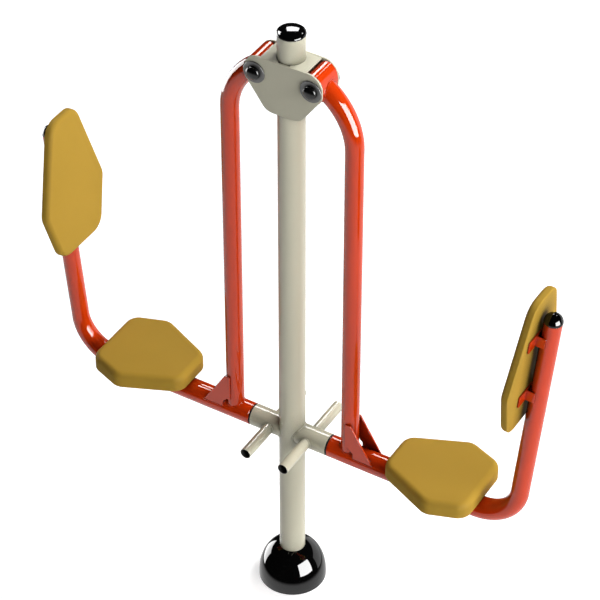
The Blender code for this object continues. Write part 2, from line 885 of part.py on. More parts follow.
def build_beam_plug(builder, side_name, side, beam_start):
    """The disc that closes the seat beam's inner end and meets the rubber buffer."""
    thickness = abs(beam_start.x) - GAP - STOP_FACE
    spigot = BEAM_RADIUS - BEAM_WALL - SPIGOT_CLEARANCE
    profile = [
        (0, thickness),
        (BEAM_RADIUS, thickness),
        (BEAM_RADIUS, 0),
        (spigot, 0),
        (spigot, -SPIGOT_LENGTH),
        (0, -SPIGOT_LENGTH),
    ]
    seat = beam_start - X_AXIS * side * GAP
    turned_part(
        builder,
        f"{side_name}_beam_plug",
        profile,
        along(seat, X_AXIS * -side),
        "orange_paint",
        steps=SMALL_TURN_STEPS,
    )


def build_gussets(builder, side_name, side, beam_tool):
    """Two triangular plates on the arm tube's sides, fitted to the beam below."""
    top = GUSSET_RISE
    inner = ARM_OFFSET
    edge = inner + GUSSET_TOP_OFFSET
    outer = ARM_OFFSET + GUSSET_TOE
    notch_x = ARM_OFFSET + ARM_RADIUS - GUSSET_NOTCH
    notch_z = BEAM_RADIUS + GUSSET_NOTCH
    outline = [
        (inner, top),
        (inner, notch_z),
        (notch_x, notch_z),
        (notch_x + GUSSET_NOTCH, notch_z - GUSSET_NOTCH),
        (notch_x + GUSSET_NOTCH, 0),
        (outer, 0),
        (outer, GUSSET_EDGE),
        (edge, top),
    ]
    outline = [(side * x, z) for x, z in outline]
    middle = ARM_RADIUS + GAP + GUSSET_THICKNESS / 2
    for end_name, end in ENDS.items():
        name = f"{side_name}_gusset_{end_name}"
        mesh = flat_plate(name, outline, [], GUSSET_THICKNESS)
        matrix = basis(Vector((0, end * middle, BEAM_HEIGHT)), X_AXIS, -Y_AXIS)
        item = builder.add(name, mesh, matrix, "orange_paint")
        combine(item, beam_tool, "DIFFERENCE")


def pad_corners(length, width, wide_end, narrow_end, widest, radius):
    """A pad's six corners from its narrow end, at x zero, to its wide end."""
    return [
        (0, -narrow_end / 2, radius),
        (widest, -width / 2, radius),
        (length, -wide_end / 2, radius),
        (length, wide_end / 2, radius),
        (widest, width / 2, radius),
        (0, narrow_end / 2, radius),
    ]


def pad_mesh(name, corners, thickness, face_round, reverse_round):
    """A pad's cage: walls round its outline, then insets that round its edges and crown its face."""
    outline = rounded_outline(corners, steps=PAD_CORNER_STEPS, support=PAD_SUPPORT_STEP)
    work = bmesh.new()
    ring = [work.verts.new((x, y, reverse_round)) for x, y, _, _ in outline]
    floor = work.faces.new(ring[::-1])
    wall = bmesh.ops.extrude_face_region(work, geom=[floor], use_keep_orig=True)["geom"]
    rise = thickness - PAD_CROWN - face_round - reverse_round
    raised = [item for item in wall if isinstance(item, bmesh.types.BMVert)]
    bmesh.ops.translate(work, vec=Z_AXIS * rise, verts=raised)
    top = next(item for item in wall if isinstance(item, bmesh.types.BMFace) and item != floor)
    bmesh.ops.recalc_face_normals(work, faces=work.faces)
    inset_ring(work, floor, reverse_round + PAD_DRAW_IN, reverse_round)
    near = face_round * (1 - math.cos(math.pi / 4))
    far = face_round - near
    inset_ring(work, top, near, far)
    inset_ring(work, top, far, near)
    inset_ring(work, top, PAD_CROWN_INSET, PAD_CROWN)
    mesh = bpy.data.meshes.new(name)
    work.to_mesh(mesh)
    work.free()
    mesh.shade_smooth()
    return mesh


def inset_ring(work, face, inset, depth):
    """Insets a face and moves it outwards."""
    work.normal_update()
    bmesh.ops.inset_region(work, faces=[face], thickness=inset, depth=depth, use_even_offset=True)


def add_pad(builder, mesh, matrix):
    """A moulded pad, smoothed from its cage."""
    item = builder.add(mesh.name, mesh, matrix, "pad_moulding")
    smoothing = item.modifiers.new("smoothing", "SUBSURF")
    smoothing.levels = 1
    smoothing.render_levels = 1


def build_seat(builder, side_name, side, beam_tool):
    """The seat pad on its steel plate, and the saddles that hold the plate on the beam."""
    outward = X_AXIS * side
    centre_x = SEAT_INNER_END + SEAT_LENGTH / 2
    half_length = SEAT_PLATE_LENGTH / 2
    half_width = SEAT_PLATE_WIDTH / 2
    corners = [
        (-half_length, -half_width, SEAT_PLATE_FILLET),
        (half_length, -half_width, SEAT_PLATE_FILLET),
        (half_length, half_width, SEAT_PLATE_FILLET),
        (-half_length, half_width, SEAT_PLATE_FILLET),
    ]
    name = f"{side_name}_seat_plate"
    mesh = flat_plate(name, places(rounded_outline(corners)), [], SEAT_PLATE_THICKNESS)
    middle = Vector((side * centre_x, 0, SEAT_PLATE_BASE + SEAT_PLATE_THICKNESS / 2))
    plate = builder.add(name, mesh, Matrix.Translation(middle), "orange_paint")
    root = min(GAP, SEAT_PLATE_THICKNESS)
    for index, sign in enumerate((-1, 1)):
        depth = SADDLE_DEPTH + root
        size = Vector((SADDLE_THICKNESS, SADDLE_WIDTH, depth))
        saddle_mesh = block_mesh(f"{name}_saddle_{index}", size)
        spot = Vector(
            (side * centre_x + sign * SADDLE_SPACING / 2, 0, SEAT_PLATE_BASE + root - depth / 2)
        )
        saddle = builder.cutter(f"{name}_saddle_{index}", saddle_mesh, Matrix.Translation(spot))
        combine(plate, saddle, "UNION")
    combine(plate, beam_tool, "DIFFERENCE")

    name = f"{side_name}_seat_pad"
    corners = pad_corners(
        SEAT_LENGTH,
        SEAT_WIDTH,
        SEAT_WIDE_END_WIDTH,
        SEAT_NARROW_END_WIDTH,
        SEAT_WIDEST_FROM_NARROW_END,
        SEAT_CORNER_RADIUS,
    )
    mesh = pad_mesh(name, corners, SEAT_THICKNESS, SEAT_FACE_ROUND, SEAT_REVERSE_ROUND)
    place = basis(Vector((side * SEAT_INNER_END, 0, SEAT_BASE)), outward, Z_AXIS)
    add_pad(builder, mesh, place)


def build_backrest(builder, side_name, side):
    """The back pad and the two strap brackets that hold it on the upright."""
    bottom = upright_point(side, BACK_BOTTOM)
    up = (upright_point(side, UPRIGHT_TOP) - bottom).normalized()
    forward = Y_AXIS.cross(up) * -side
    upper = upright_point(side, UPRIGHT_TOP) - up * BRACKET_CENTRE_FROM_TOP
    for level, drop in (("upper", 0), ("lower", BRACKET_SPACING)):
        name = f"{side_name}_back_bracket_{level}"
        build_back_bracket(builder, name, upper - up * drop, up, forward)

    name = f"{side_name}_back_pad"
    corners = pad_corners(
        BACK_LENGTH,
        BACK_WIDTH,
        BACK_WIDE_END_WIDTH,
        BACK_NARROW_END_WIDTH,
        BACK_WIDEST_FROM_NARROW_END,
        BACK_CORNER_RADIUS,
    )
    mesh = pad_mesh(name, corners, BACK_THICKNESS, BACK_FACE_ROUND, BACK_REVERSE_ROUND)
    top = bottom + up * BACK_LENGTH + forward * BACK_STANDOFF
    add_pad(builder, mesh, basis(top, -up, forward))


def build_back_bracket(builder, name, centre, up, forward):
    """A strap across the pad's back, with a cheek on each side of the upright."""
    half_length = BRACKET_STRAP_LENGTH / 2
    half_height = BRACKET_STRAP_HEIGHT / 2
    corners = [
        (-half_height, -half_length, BRACKET_STRAP_FILLET),
        (half_height, -half_length, BRACKET_STRAP_FILLET),
        (half_height, half_length, BRACKET_STRAP_FILLET),
        (-half_height, half_length, BRACKET_STRAP_FILLET),
    ]
    mesh = flat_plate(name, places(rounded_outline(corners)), [], BRACKET_STRAP_THICKNESS)
    middle = centre + forward * (STRAP_FACE + BRACKET_STRAP_THICKNESS / 2)
    strap = builder.add(name, mesh, basis(middle, up, forward), "orange_paint")
    depth = STRAP_FACE + BRACKET_STRAP_THICKNESS / 2
    offset = STRAP_FACE + BRACKET_CHEEK_THICKNESS / 2
    for end_name, end in ENDS.items():
        size = Vector((BRACKET_CHEEK_HEIGHT, BRACKET_CHEEK_THICKNESS, depth))
        cheek_mesh = block_mesh(f"{name}_cheek_{end_name}", size)
        spot = centre + forward * depth / 2 + Y_AXIS * end * offset
        matrix = basis(spot, up, forward)
        cheek = builder.cutter(f"{name}_cheek_{end_name}", cheek_mesh, matrix)
        combine(strap, cheek, "UNION")


def main():
    """Builds every piece of the trainer."""
    clear_scene()
    builder = Builder()
    build_base(builder)
    build_post(builder)
    build_crossbar(builder)
    build_head(builder)
    for side_name, side in SIDES.items():
        build_arm(builder, side_name, side)


main()
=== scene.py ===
"""Double pedal trainer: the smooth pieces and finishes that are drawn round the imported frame.

Metres, +Z up. X runs from seat to seat and -Y is the front. Each sub-assembly is a class that holds
its own sizes and builds its meshes, and each finish is a small frozen dataclass.
"""

import logging
import math
from contextlib import contextmanager
from dataclasses import dataclass, replace
from enum import Enum
from typing import Callable, Iterator, Sequence

import bmesh
import bpy
import numpy as np
from mathutils import Matrix, Vector


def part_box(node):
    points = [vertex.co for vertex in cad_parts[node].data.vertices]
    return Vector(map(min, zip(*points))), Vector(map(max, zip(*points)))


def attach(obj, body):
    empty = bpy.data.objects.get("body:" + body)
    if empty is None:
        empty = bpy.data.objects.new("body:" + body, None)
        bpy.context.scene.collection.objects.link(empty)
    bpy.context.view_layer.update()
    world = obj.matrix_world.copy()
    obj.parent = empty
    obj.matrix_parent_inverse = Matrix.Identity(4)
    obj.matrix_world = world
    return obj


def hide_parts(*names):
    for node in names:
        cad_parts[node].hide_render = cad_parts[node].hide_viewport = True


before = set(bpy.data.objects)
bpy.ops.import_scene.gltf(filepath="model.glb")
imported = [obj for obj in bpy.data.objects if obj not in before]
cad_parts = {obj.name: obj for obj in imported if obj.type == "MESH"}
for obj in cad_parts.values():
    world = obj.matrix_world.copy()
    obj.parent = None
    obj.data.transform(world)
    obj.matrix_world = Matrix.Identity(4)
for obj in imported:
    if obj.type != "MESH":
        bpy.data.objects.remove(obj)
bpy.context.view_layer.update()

LOG = logging.getLogger("trainer")

X_AXIS = np.array((1.0, 0.0, 0.0))
Y_AXIS = np.array((0.0, 1.0, 0.0))
Z_AXIS = np.array((0.0, 0.0, 1.0))
FULL_TURN = 2 * math.pi
WHITE = (1, 1, 1, 1)

# Which edges stay sharp: steep ones, and those between a wide flat face and a narrow one.
SHARP_ANGLE = math.radians(32)
FLAT_ANGLE = math.radians(4)
WIDE_SHARE = 8.0

# How the meshes are made.
STEEP_SHARE = 0.7
WELD_GAP = 0.00002
MEETING_STEPS = 40
TURN_STEPS = 96

# Sizes that several sub-assemblies share.
GAP = 0.0003
SPIGOT_CLEARANCE = 0.0009
AXLE_RADIUS = 0.015

Colour = tuple[float, float, float]
PlanePoint = tuple[float, float]
Test = Callable[[np.ndarray], np.ndarray]
Mesh = bpy.types.Mesh
Tree = bpy.types.NodeTree
Socket = bpy.types.NodeSocket


class Side(Enum):
    """The two seats, by the sign of their X."""

    LEFT = -1
    RIGHT = 1

    @property
    def label(self) -> str:
        """The word for this side in node names."""
        return self.name.lower()

    @property
    def body(self) -> str:
        """The body that swings on this side."""
        return f"{self.label}_arm"


class End(Enum):
    """The front and the rear, by the sign of their Y."""

    FRONT = -1
    REAR = 1

    @property
    def label(self) -> str:
        """The word for this end in node names."""
        return self.name.lower()


def box_centre(node: str) -> np.ndarray:
    """The middle of a node's box."""
    low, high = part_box(node)
    return np.array((low + high) / 2)


def box_size(node: str) -> np.ndarray:
    """The size of a node's box."""
    low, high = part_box(node)
    return np.array(high - low)


def reaches(node: str, axis: int) -> tuple[float, float]:
    """How near to the middle of the machine a node comes and how far from it.

    Args:
        node: The node.
        axis: Zero for along X, one for along Y.

    Returns:
        The nearest and the farthest distance of its box.
    """
    low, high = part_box(node)
    near, far = sorted((abs(low[axis]), abs(high[axis])))
    return near, far


@contextmanager
def edited(mesh: Mesh) -> Iterator[bmesh.types.BMesh]:
    """Opens a mesh for editing.

    Args:
        mesh: The mesh.

    Yields:
        Its editable form, which is written back at the end.
    """
    work = bmesh.new()
    work.from_mesh(mesh)
    yield work
    work.to_mesh(mesh)
    work.free()


def unit(vectors: np.ndarray) -> np.ndarray:
    """Vectors with their lengths made one."""
    return vectors / np.linalg.norm(vectors, axis=-1, keepdims=True)


def distances(path: np.ndarray) -> np.ndarray:
    """How far along a path each of its points lies."""
    return np.concatenate(([0.0], np.cumsum(np.linalg.norm(np.diff(path, axis=0), axis=1))))


def between(table: np.ndarray, along: np.ndarray, places: np.ndarray) -> np.ndarray:
    """Reads a table of vectors, whose rows lie at distances along a path, at other places."""
    return np.stack([np.interp(places, along, column) for column in table.T], -1)


def direction(azimuth: float, elevation: float) -> np.ndarray:
    """The way from the object to a place round it.

    Args:
        azimuth: Degrees round from the front towards the right.
        elevation: Degrees up from level.

    Returns:
        The direction.
    """
    turn = math.radians(azimuth)
    lift = math.radians(elevation)
    level = math.cos(lift)
    return np.array((math.sin(turn) * level, -math.cos(turn) * level, math.sin(lift)))


def feed(tree: Tree, node: bpy.types.Node, values: dict) -> bpy.types.Node:
    """Sets a node's inputs.

    Args:
        tree: The tree that holds the node.
        node: The node.
        values: For each input, its plain value or the socket that feeds it.

    Returns:
        The node.
    """
    for key, value in values.items():
        if isinstance(value, Socket):
            tree.links.new(value, node.inputs[key])
        else:
            node.inputs[key].default_value = value
    return node


def add_node(tree: Tree, kind: str, values: dict) -> bpy.types.Node:
    """Adds a shader node of a kind and sets its inputs."""
    return feed(tree, tree.nodes.new(f"ShaderNode{kind}"), values)


def counted(tree: Tree, operation: str, first: Socket | float, second: Socket | float) -> Socket:
    """Counts with two values.

    Args:
        tree: The tree to count in.
        operation: The math node's operation.
        first: The first value.
        second: The second value.

    Returns:
        The socket that gives the result.
    """
    made = add_node(tree, "Math", {0: first, 1: second})
    made.operation = operation
    return made.outputs[0]


def mixed(tree: Tree, kind: str, share: Socket | float, first: Socket, second: Socket) -> Socket:
    """Mixes two colours or two numbers.

    Args:
        tree: The tree to mix in.
        kind: RGBA for colours or FLOAT for numbers.
        share: The second one's share.
        first: The first one.
        second: The second one.

    Returns:
        The socket that gives the mix.
    """
    made = tree.nodes.new("ShaderNodeMix")
    made.data_type = kind
    return feed(tree, made, {"Factor": share, "A": first, "B": second}).outputs["Result"]


class Effects:
    """The shader node groups that the finishes share, each built once."""

    tone_detail: float = 4.0
    gloss_detail: float = 3.0
    grain_detail: float = 2.0
    wave_detail: float = 1.0
    corner_samples: int = 6

    def __init__(self) -> None:
        """Builds the four groups."""
        self.tone = self._tone_drift()
        self.corners = self._corner_shade()
        self.gloss = self._gloss_drift()
        self.grain = self._surface_grain()

    @staticmethod
    def _new_group(name: str, inputs: dict[str, str], output: str,
                   kind: str) -> tuple[Tree, bpy.types.bpy_prop_collection, bpy.types.Node]:
        """Starts a group.

        Args:
            name: The group's name.
            inputs: The socket type of each named input.
            output: The name of the output.
            kind: The output's socket type.

        Returns:
            The tree, its input sockets and its output node.
        """
        tree = bpy.data.node_groups.new(name, "ShaderNodeTree")
        for label, word in inputs.items():
            tree.interface.new_socket(
                name=label, in_out="INPUT", socket_type=f"NodeSocket{word}"
            )
        tree.interface.new_socket(
            name=output, in_out="OUTPUT", socket_type=f"NodeSocket{kind}"
        )
        entry = tree.nodes.new("NodeGroupInput")
        return tree, entry.outputs, tree.nodes.new("NodeGroupOutput")

    @staticmethod
    def _noise(tree: Tree, size: Socket, detail: float) -> Socket:
        """Adds a noise over the piece's own coordinates.

        Args:
            tree: The group's tree.
            size: The size of its features in metres.
            detail: How many finer layers it has.

        Returns:
            The socket that gives the noise.
        """
        place = tree.nodes.new("ShaderNodeTexCoord").outputs["Object"]
        scale = counted(tree, "DIVIDE", 1.0, size)
        values = {"Vector": place, "Scale": scale, "Detail": detail}
        return add_node(tree, "TexNoise", values).outputs["Fac"]

    def _tone_drift(self) -> Tree:
        """A colour that wanders slowly towards a second one.

        Returns:
            The group.
        """
        inputs = {
            "Tone": "Color", "Second Tone": "Color", "Patch Size": "Float", "Amount": "Float",
        }
        tree, given, result = self._new_group("tone_drift", inputs, "Color", "Color")
        noise = self._noise(tree, given["Patch Size"], self.tone_detail)
        amount = counted(tree, "MULTIPLY", noise, given["Amount"])
        colour = mixed(tree, "RGBA", amount, given["Tone"], given["Second Tone"])
        feed(tree, result, {"Color": colour})
        return tree

    def _corner_shade(self) -> Tree:
        """A colour that is darkened with painted shade where another surface stands close, as
        ambient occlusion finds it.

        Returns:
            The group.
        """
        inputs = {"Tone": "Color", "Shade Tone": "Color", "Reach": "Float", "Amount": "Float"}
        tree, given, result = self._new_group("corner_shade", inputs, "Color", "Color")
        # Painted shade: ambient occlusion darkens the colour in corners and gaps.
        near = add_node(tree, "AmbientOcclusion", {"Distance": given["Reach"]})
        near.samples = self.corner_samples
        closed = counted(tree, "SUBTRACT", 1.0, near.outputs["AO"])
        amount = counted(tree, "MULTIPLY", closed, given["Amount"])
        amount.node.use_clamp = True
        colour = mixed(tree, "RGBA", amount, given["Tone"], given["Shade Tone"])
        feed(tree, result, {"Color": colour})
        return tree

    def _gloss_drift(self) -> Tree:
        """A roughness that wanders between two values.

        Returns:
            The group.
        """
        inputs = {"Smoothest": "Float", "Roughest": "Float", "Patch Size": "Float"}
        tree, given, result = self._new_group("gloss_drift", inputs, "Roughness", "Float")
        noise = self._noise(tree, given["Patch Size"], self.gloss_detail)
        spread = add_node(tree, "MapRange", {
            "Value": noise, "To Min": given["Smoothest"], "To Max": given["Roughest"],
        })
        feed(tree, result, {"Roughness": spread.outputs["Result"]})
        return tree

    def _surface_grain(self) -> Tree:
        """The height of a fine grain over a slower waviness.

        Returns:
            The group.
        """
        inputs = {"Grain Size": "Float", "Wave Size": "Float", "Wave Share": "Float"}
        tree, given, result = self._new_group("surface_grain", inputs, "Height", "Float")
        fine = self._noise(tree, given["Grain Size"], self.grain_detail)
        slow = self._noise(tree, given["Wave Size"], self.wave_detail)
        height = mixed(tree, "FLOAT", given["Wave Share"], fine, slow)
        feed(tree, result, {"Height": height})
        return tree


@dataclass(frozen=True)
class Finish:
    """A surface finish: its colours, its gloss, its fine relief and the shade painted into its
    corners.

    The slot names the record's material that it stands for; nothing in this script reads it.
    """

    label: str
    slot: str
    tone: Colour
    second_tone: Colour
    patch_size: float
    drift: float
    smoothest: float
    roughest: float
    grain_size: float
    wave_size: float
    wave_share: float
    relief: float
    metallic: float = 0.0
    ior: float = 1.5
    specular: float = 0.5
    coat: float = 0.0
    coat_roughness: float = 0.03
    # Painted shade: where other surfaces stand within a reach, the colour darkens towards a share
    # of its tone, by an amount.
    shade_share: float = 0.12
    shade_reach: float = 0.070
    shade_amount: float = 1.2

    def material(self, effects: Effects) -> bpy.types.Material:
        """Makes the material.

        Args:
            effects: The shared node groups.

        Returns:
            The material, named for the finish.
        """
        made = bpy.data.materials.new(self.label)
        made.use_nodes = True
        made.diffuse_color = (*self.tone, 1)
        tree = made.node_tree
        tone = self._place(tree, effects.tone, {
            "Tone": (*self.tone, 1),
            "Second Tone": (*self.second_tone, 1),
            "Patch Size": self.patch_size,
            "Amount": self.drift,
        })
        # Painted shade in corners and gaps, laid over the drifting tone.
        corners = self._place(tree, effects.corners, {
            "Tone": tone,
            "Shade Tone": (*(self.shade_share * part for part in self.tone), 1),
            "Reach": self.shade_reach,
            "Amount": self.shade_amount,
        })
        gloss = self._place(tree, effects.gloss, {
            "Smoothest": self.smoothest,
            "Roughest": self.roughest,
            "Patch Size": self.patch_size,
        })
        grain = self._place(tree, effects.grain, {
            "Grain Size": self.grain_size,
            "Wave Size": self.wave_size,
            "Wave Share": self.wave_share,
        })
        bump = add_node(tree, "Bump", {"Strength": 1.0, "Distance": self.relief, "Height": grain})
        feed(tree, tree.nodes["Principled BSDF"], {
            "Base Color": corners,
            "Metallic": self.metallic,
            "Roughness": gloss,
            "IOR": self.ior,
            "Normal": bump.outputs["Normal"],
            "Specular IOR Level": self.specular,
            "Coat Weight": self.coat,
            "Coat Roughness": self.coat_roughness,
        })
        return made

    @staticmethod
    def _place(tree: Tree, group: Tree, values: dict) -> Socket:
        """Places a shared group in a material.

        Args:
            tree: The material's tree.
            group: The shared group.
            values: For each of its inputs, a plain value or a socket.

        Returns:
            The group's output.
        """
        holder = tree.nodes.new("ShaderNodeGroup")
        holder.node_tree = group
        return feed(tree, holder, values).outputs[0]


ORANGE_PAINT = Finish(
    label="orange_paint",
    slot="orange_paint",
    tone=(0.82, 0.056, 0.004),
    second_tone=(0.77, 0.049, 0.003),
    patch_size=0.12,
    drift=0.5,
    smoothest=0.30,
    roughest=0.38,
    grain_size=0.0016,
    wave_size=0.009,
    wave_share=0.75,
    relief=0.00003,
    specular=0.0,
    coat=1.0,
)
CREAM_PAINT = replace(
    ORANGE_PAINT,
    label="cream_paint",
    slot="cream_paint",
    tone=(0.775, 0.750, 0.575),
    second_tone=(0.735, 0.712, 0.545),
    patch_size=0.15,
    smoothest=0.32,
    roughest=0.40,
    coat_roughness=0.05,
    # Painted shade in corners: wider and darker on this paint.
    shade_reach=0.100,
    shade_amount=1.6,
)
MATT_CREAM = replace(
    CREAM_PAINT,
    label="matt_cream",
    tone=(0.80, 0.775, 0.615),
    second_tone=(0.76, 0.735, 0.585),
    coat=0.1,
    coat_roughness=0.30,
    # Painted shade in corners: weaker on the plates and deck.
    shade_amount=0.4,
)
PAD_MOULDING = Finish(
    label="pad_moulding",
    slot="pad_moulding",
    tone=(0.54, 0.330, 0.044),
    second_tone=(0.50, 0.305, 0.042),
    patch_size=0.08,
    drift=0.5,
    smoothest=0.54,
    roughest=0.62,
    grain_size=0.0011,
    wave_size=0.010,
    wave_share=0.15,
    relief=0.00010,
    specular=0.05,
    # Painted shade in corners and gaps: darker on the pads.
    shade_amount=1.7,
)
BLACK_PLASTIC = Finish(
    label="black_plastic",
    slot="black_plastic",
    tone=(0.0012, 0.0012, 0.0012),
    second_tone=(0.0018, 0.0018, 0.0018),
    patch_size=0.05,
    drift=0.5,
    smoothest=0.035,
    roughest=0.055,
    grain_size=0.003,
    wave_size=0.030,
    wave_share=0.9,
    relief=0.00004,
    ior=1.55,
)
DULL_PLASTIC = Finish(
    label="dull_plastic",
    slot="black_plastic",
    tone=(0.003, 0.003, 0.003),
    second_tone=(0.005, 0.005, 0.005),
    patch_size=0.02,
    drift=0.6,
    smoothest=0.15,
    roughest=0.21,
    grain_size=0.0016,
    wave_size=0.006,
    wave_share=0.5,
    relief=0.00003,
)
RUBBER = Finish(
    label="rubber",
    slot="rubber",
    tone=(0.016, 0.016, 0.016),
    second_tone=(0.024, 0.023, 0.022),
    patch_size=0.02,
    drift=0.7,
    smoothest=0.62,
    roughest=0.78,
    grain_size=0.0008,
    wave_size=0.006,
    wave_share=0.2,
    relief=0.00012,
)
ZINC_STEEL = Finish(
    label="zinc_steel",
    slot="zinc_steel",
    tone=(0.24, 0.24, 0.235),
    second_tone=(0.17, 0.17, 0.17),
    patch_size=0.012,
    drift=0.8,
    smoothest=0.40,
    roughest=0.54,
    grain_size=0.0012,
    wave_size=0.008,
    wave_share=0.5,
    relief=0.00005,
    metallic=1.0,
)
# Bare steel painted near black, which also stands in for the shade inside the open peg ends: partly
# real colour, partly painted shade.
BARE_SHADED_BORE = Finish(
    label="bare_shaded_bore",
    slot="cream_paint",
    tone=(0.010, 0.010, 0.011),
    second_tone=(0.018, 0.016, 0.015),
    patch_size=0.010,
    drift=0.6,
    smoothest=0.50,
    roughest=0.66,
    grain_size=0.0012,
    wave_size=0.008,
    wave_share=0.4,
    relief=0.00008,
)
FINISHES = (
    ORANGE_PAINT, CREAM_PAINT, MATT_CREAM, PAD_MOULDING, BLACK_PLASTIC, DULL_PLASTIC, RUBBER,
    ZINC_STEEL, BARE_SHADED_BORE,
)


class Skin:
    """Points and faces that grow into the mesh of one piece."""

    def __init__(self) -> None:
        """Starts empty."""
        self.points: list[np.ndarray] = []
        self.faces: list[tuple[int, ...]] = []
        self.count = 0

    def _add(self, points: np.ndarray) -> int:
        """Adds points.

        Args:
            points: The points.

        Returns:
            The number of the first.
        """
        first = self.count
        self.points.append(points)
        self.count += len(points)
        return first

    def grid(self, rows: np.ndarray, wrap: bool = True, close: bool = False) -> None:
        """Faces between rows of points.

        Args:
            rows: An array of rows, columns and coordinates.
            wrap: Whether the last column joins the first.
            close: Whether the last row joins the first.
        """
        tall, wide, _ = rows.shape
        first = self._add(rows.reshape(-1, 3))
        for row in range(tall if close else tall - 1):
            here = first + row * wide
            there = first + (row + 1) % tall * wide
            for column in range(wide if wrap else wide - 1):
                after = (column + 1) % wide
                self.faces.append((here + column, here + after, there + after, there + column))

    def fan(self, ring: np.ndarray, middle: np.ndarray) -> None:
        """Closes a ring of points with triangles to one point.

        Args:
            ring: The points of the ring.
            middle: The point.
        """
        first = self._add(np.vstack((ring, middle[None])))
        count = len(ring)
        for index in range(count):
            self.faces.append((first + index, first + (index + 1) % count, first + count))

    def turned(self, profile: Sequence[PlanePoint], place: Matrix, steps: int = TURN_STEPS,
               closed: bool = False) -> "Skin":
        """Turns a profile about the Z axis of a placing matrix.

        Args:
            profile: Points of (radius, height); an open profile starts or ends on the axis.
            place: Where the turned shape stands.
            steps: How many steps go round.
            closed: Whether the profile is a loop, which makes a ring.

        Returns:
            This skin.
        """
        turn = np.linspace(0, FULL_TURN, steps, endpoint=False)
        rows = []
        for radius, height in profile:
            heights = np.full(steps, height)
            rows.append(np.stack((radius * np.cos(turn), radius * np.sin(turn), heights), 1))
        matrix = np.array(place)
        self.grid(np.array(rows) @ matrix[:3, :3].T + matrix[:3, 3], close=closed)
        return self

    def mesh(self, name: str) -> Mesh:
        """Joins what was added into a mesh with its faces turned outwards.

        Args:
            name: The mesh's name.

        Returns:
            The mesh.
        """
        made = bpy.data.meshes.new(name)
        made.from_pydata(np.vstack(self.points).tolist(), [], self.faces)
        with edited(made) as work:
            bmesh.ops.remove_doubles(work, verts=work.verts, dist=WELD_GAP)
            bmesh.ops.dissolve_degenerate(work, edges=work.edges, dist=WELD_GAP / 2)
            bmesh.ops.recalc_face_normals(work, faces=work.faces)
        return made


class Line:
    """A tube's middle line in one plane, with its radius along the way."""

    def __init__(self, points: np.ndarray, across: np.ndarray, radii: np.ndarray | float) -> None:
        """Measures the line.

        Args:
            points: Points along the line.
            across: The direction square to the plane of the line.
            radii: The tube's outer radius at each point, or one for all.
        """
        self.points = np.array(points, float)
        self.across = across
        self.radii = np.broadcast_to(radii, len(self.points)).astype(float)
        self.along = distances(self.points)
        self.tangents = unit(np.gradient(self.points, self.along, axis=0))

    @property
    def length(self) -> float:
        """The length of the whole line."""
        return float(self.along[-1])

    def skin(self, place: np.ndarray, turn: np.ndarray, inset: float = 0.0) -> np.ndarray:
        """Points on the tube.

        Args:
            place: Distances along the line.
            turn: Angles round it, of the same shape.
            inset: How far under the outer skin.

        Returns:
            The points, with one more axis than place.
        """
        tangent = unit(between(self.tangents, self.along, place))
        normal = np.cross(self.across, tangent)
        radius = (np.interp(place, self.along, self.radii) - inset)[..., None]
        out = np.cos(turn)[..., None] * self.across + np.sin(turn)[..., None] * normal
        return between(self.points, self.along, place) + radius * out

    def meeting(self, test: Test, inside: float, outside: float, turn: np.ndarray,
                inset: float = 0.0) -> np.ndarray:
        """Where the tube's skin meets another surface.

        Args:
            test: Negative inside the other surface and positive outside.
            inside: A distance along the line that is inside it.
            outside: A distance along the line that is outside it.
            turn: Angles round the tube.
            inset: How far under the outer skin.

        Returns:
            The distance along the line at each angle.
        """
        low = np.full(turn.shape, inside)
        high = np.full(turn.shape, outside)
        for _ in range(MEETING_STEPS):
            middle = (low + high) / 2
            within = test(self.skin(middle, turn, inset)) < 0
            low = np.where(within, middle, low)
            high = np.where(within, high, middle)
        return (low + high) / 2


def cylinder_test(centre: np.ndarray, axis: np.ndarray, radius: float) -> Test:
    """A test for being inside an endless cylinder.

    Args:
        centre: A point on its axis.
        axis: Its direction.
        radius: Its radius.

    Returns:
        A function of points that is negative inside.
    """

    def test(points: np.ndarray) -> np.ndarray:
        """How far points stand outside the cylinder."""
        offset = points - centre
        return np.linalg.norm(offset - (offset @ axis)[..., None] * axis, axis=-1) - radius

    return test


def oval_test(centre: np.ndarray, half_width: float, half_height: float) -> Test:
    """A test for being inside an endless upright oval bar along Y.

    Args:
        centre: A point on its axis.
        half_width: Half its size along X.
        half_height: Half its size along Z.

    Returns:
        A function of points that is negative inside.
    """

    def test(points: np.ndarray) -> np.ndarray:
        """How far points stand outside the oval, as a share of its half sizes."""
        offset = points - centre
        return np.hypot(offset[..., 0] / half_width, offset[..., 2] / half_height) - 1

    return test


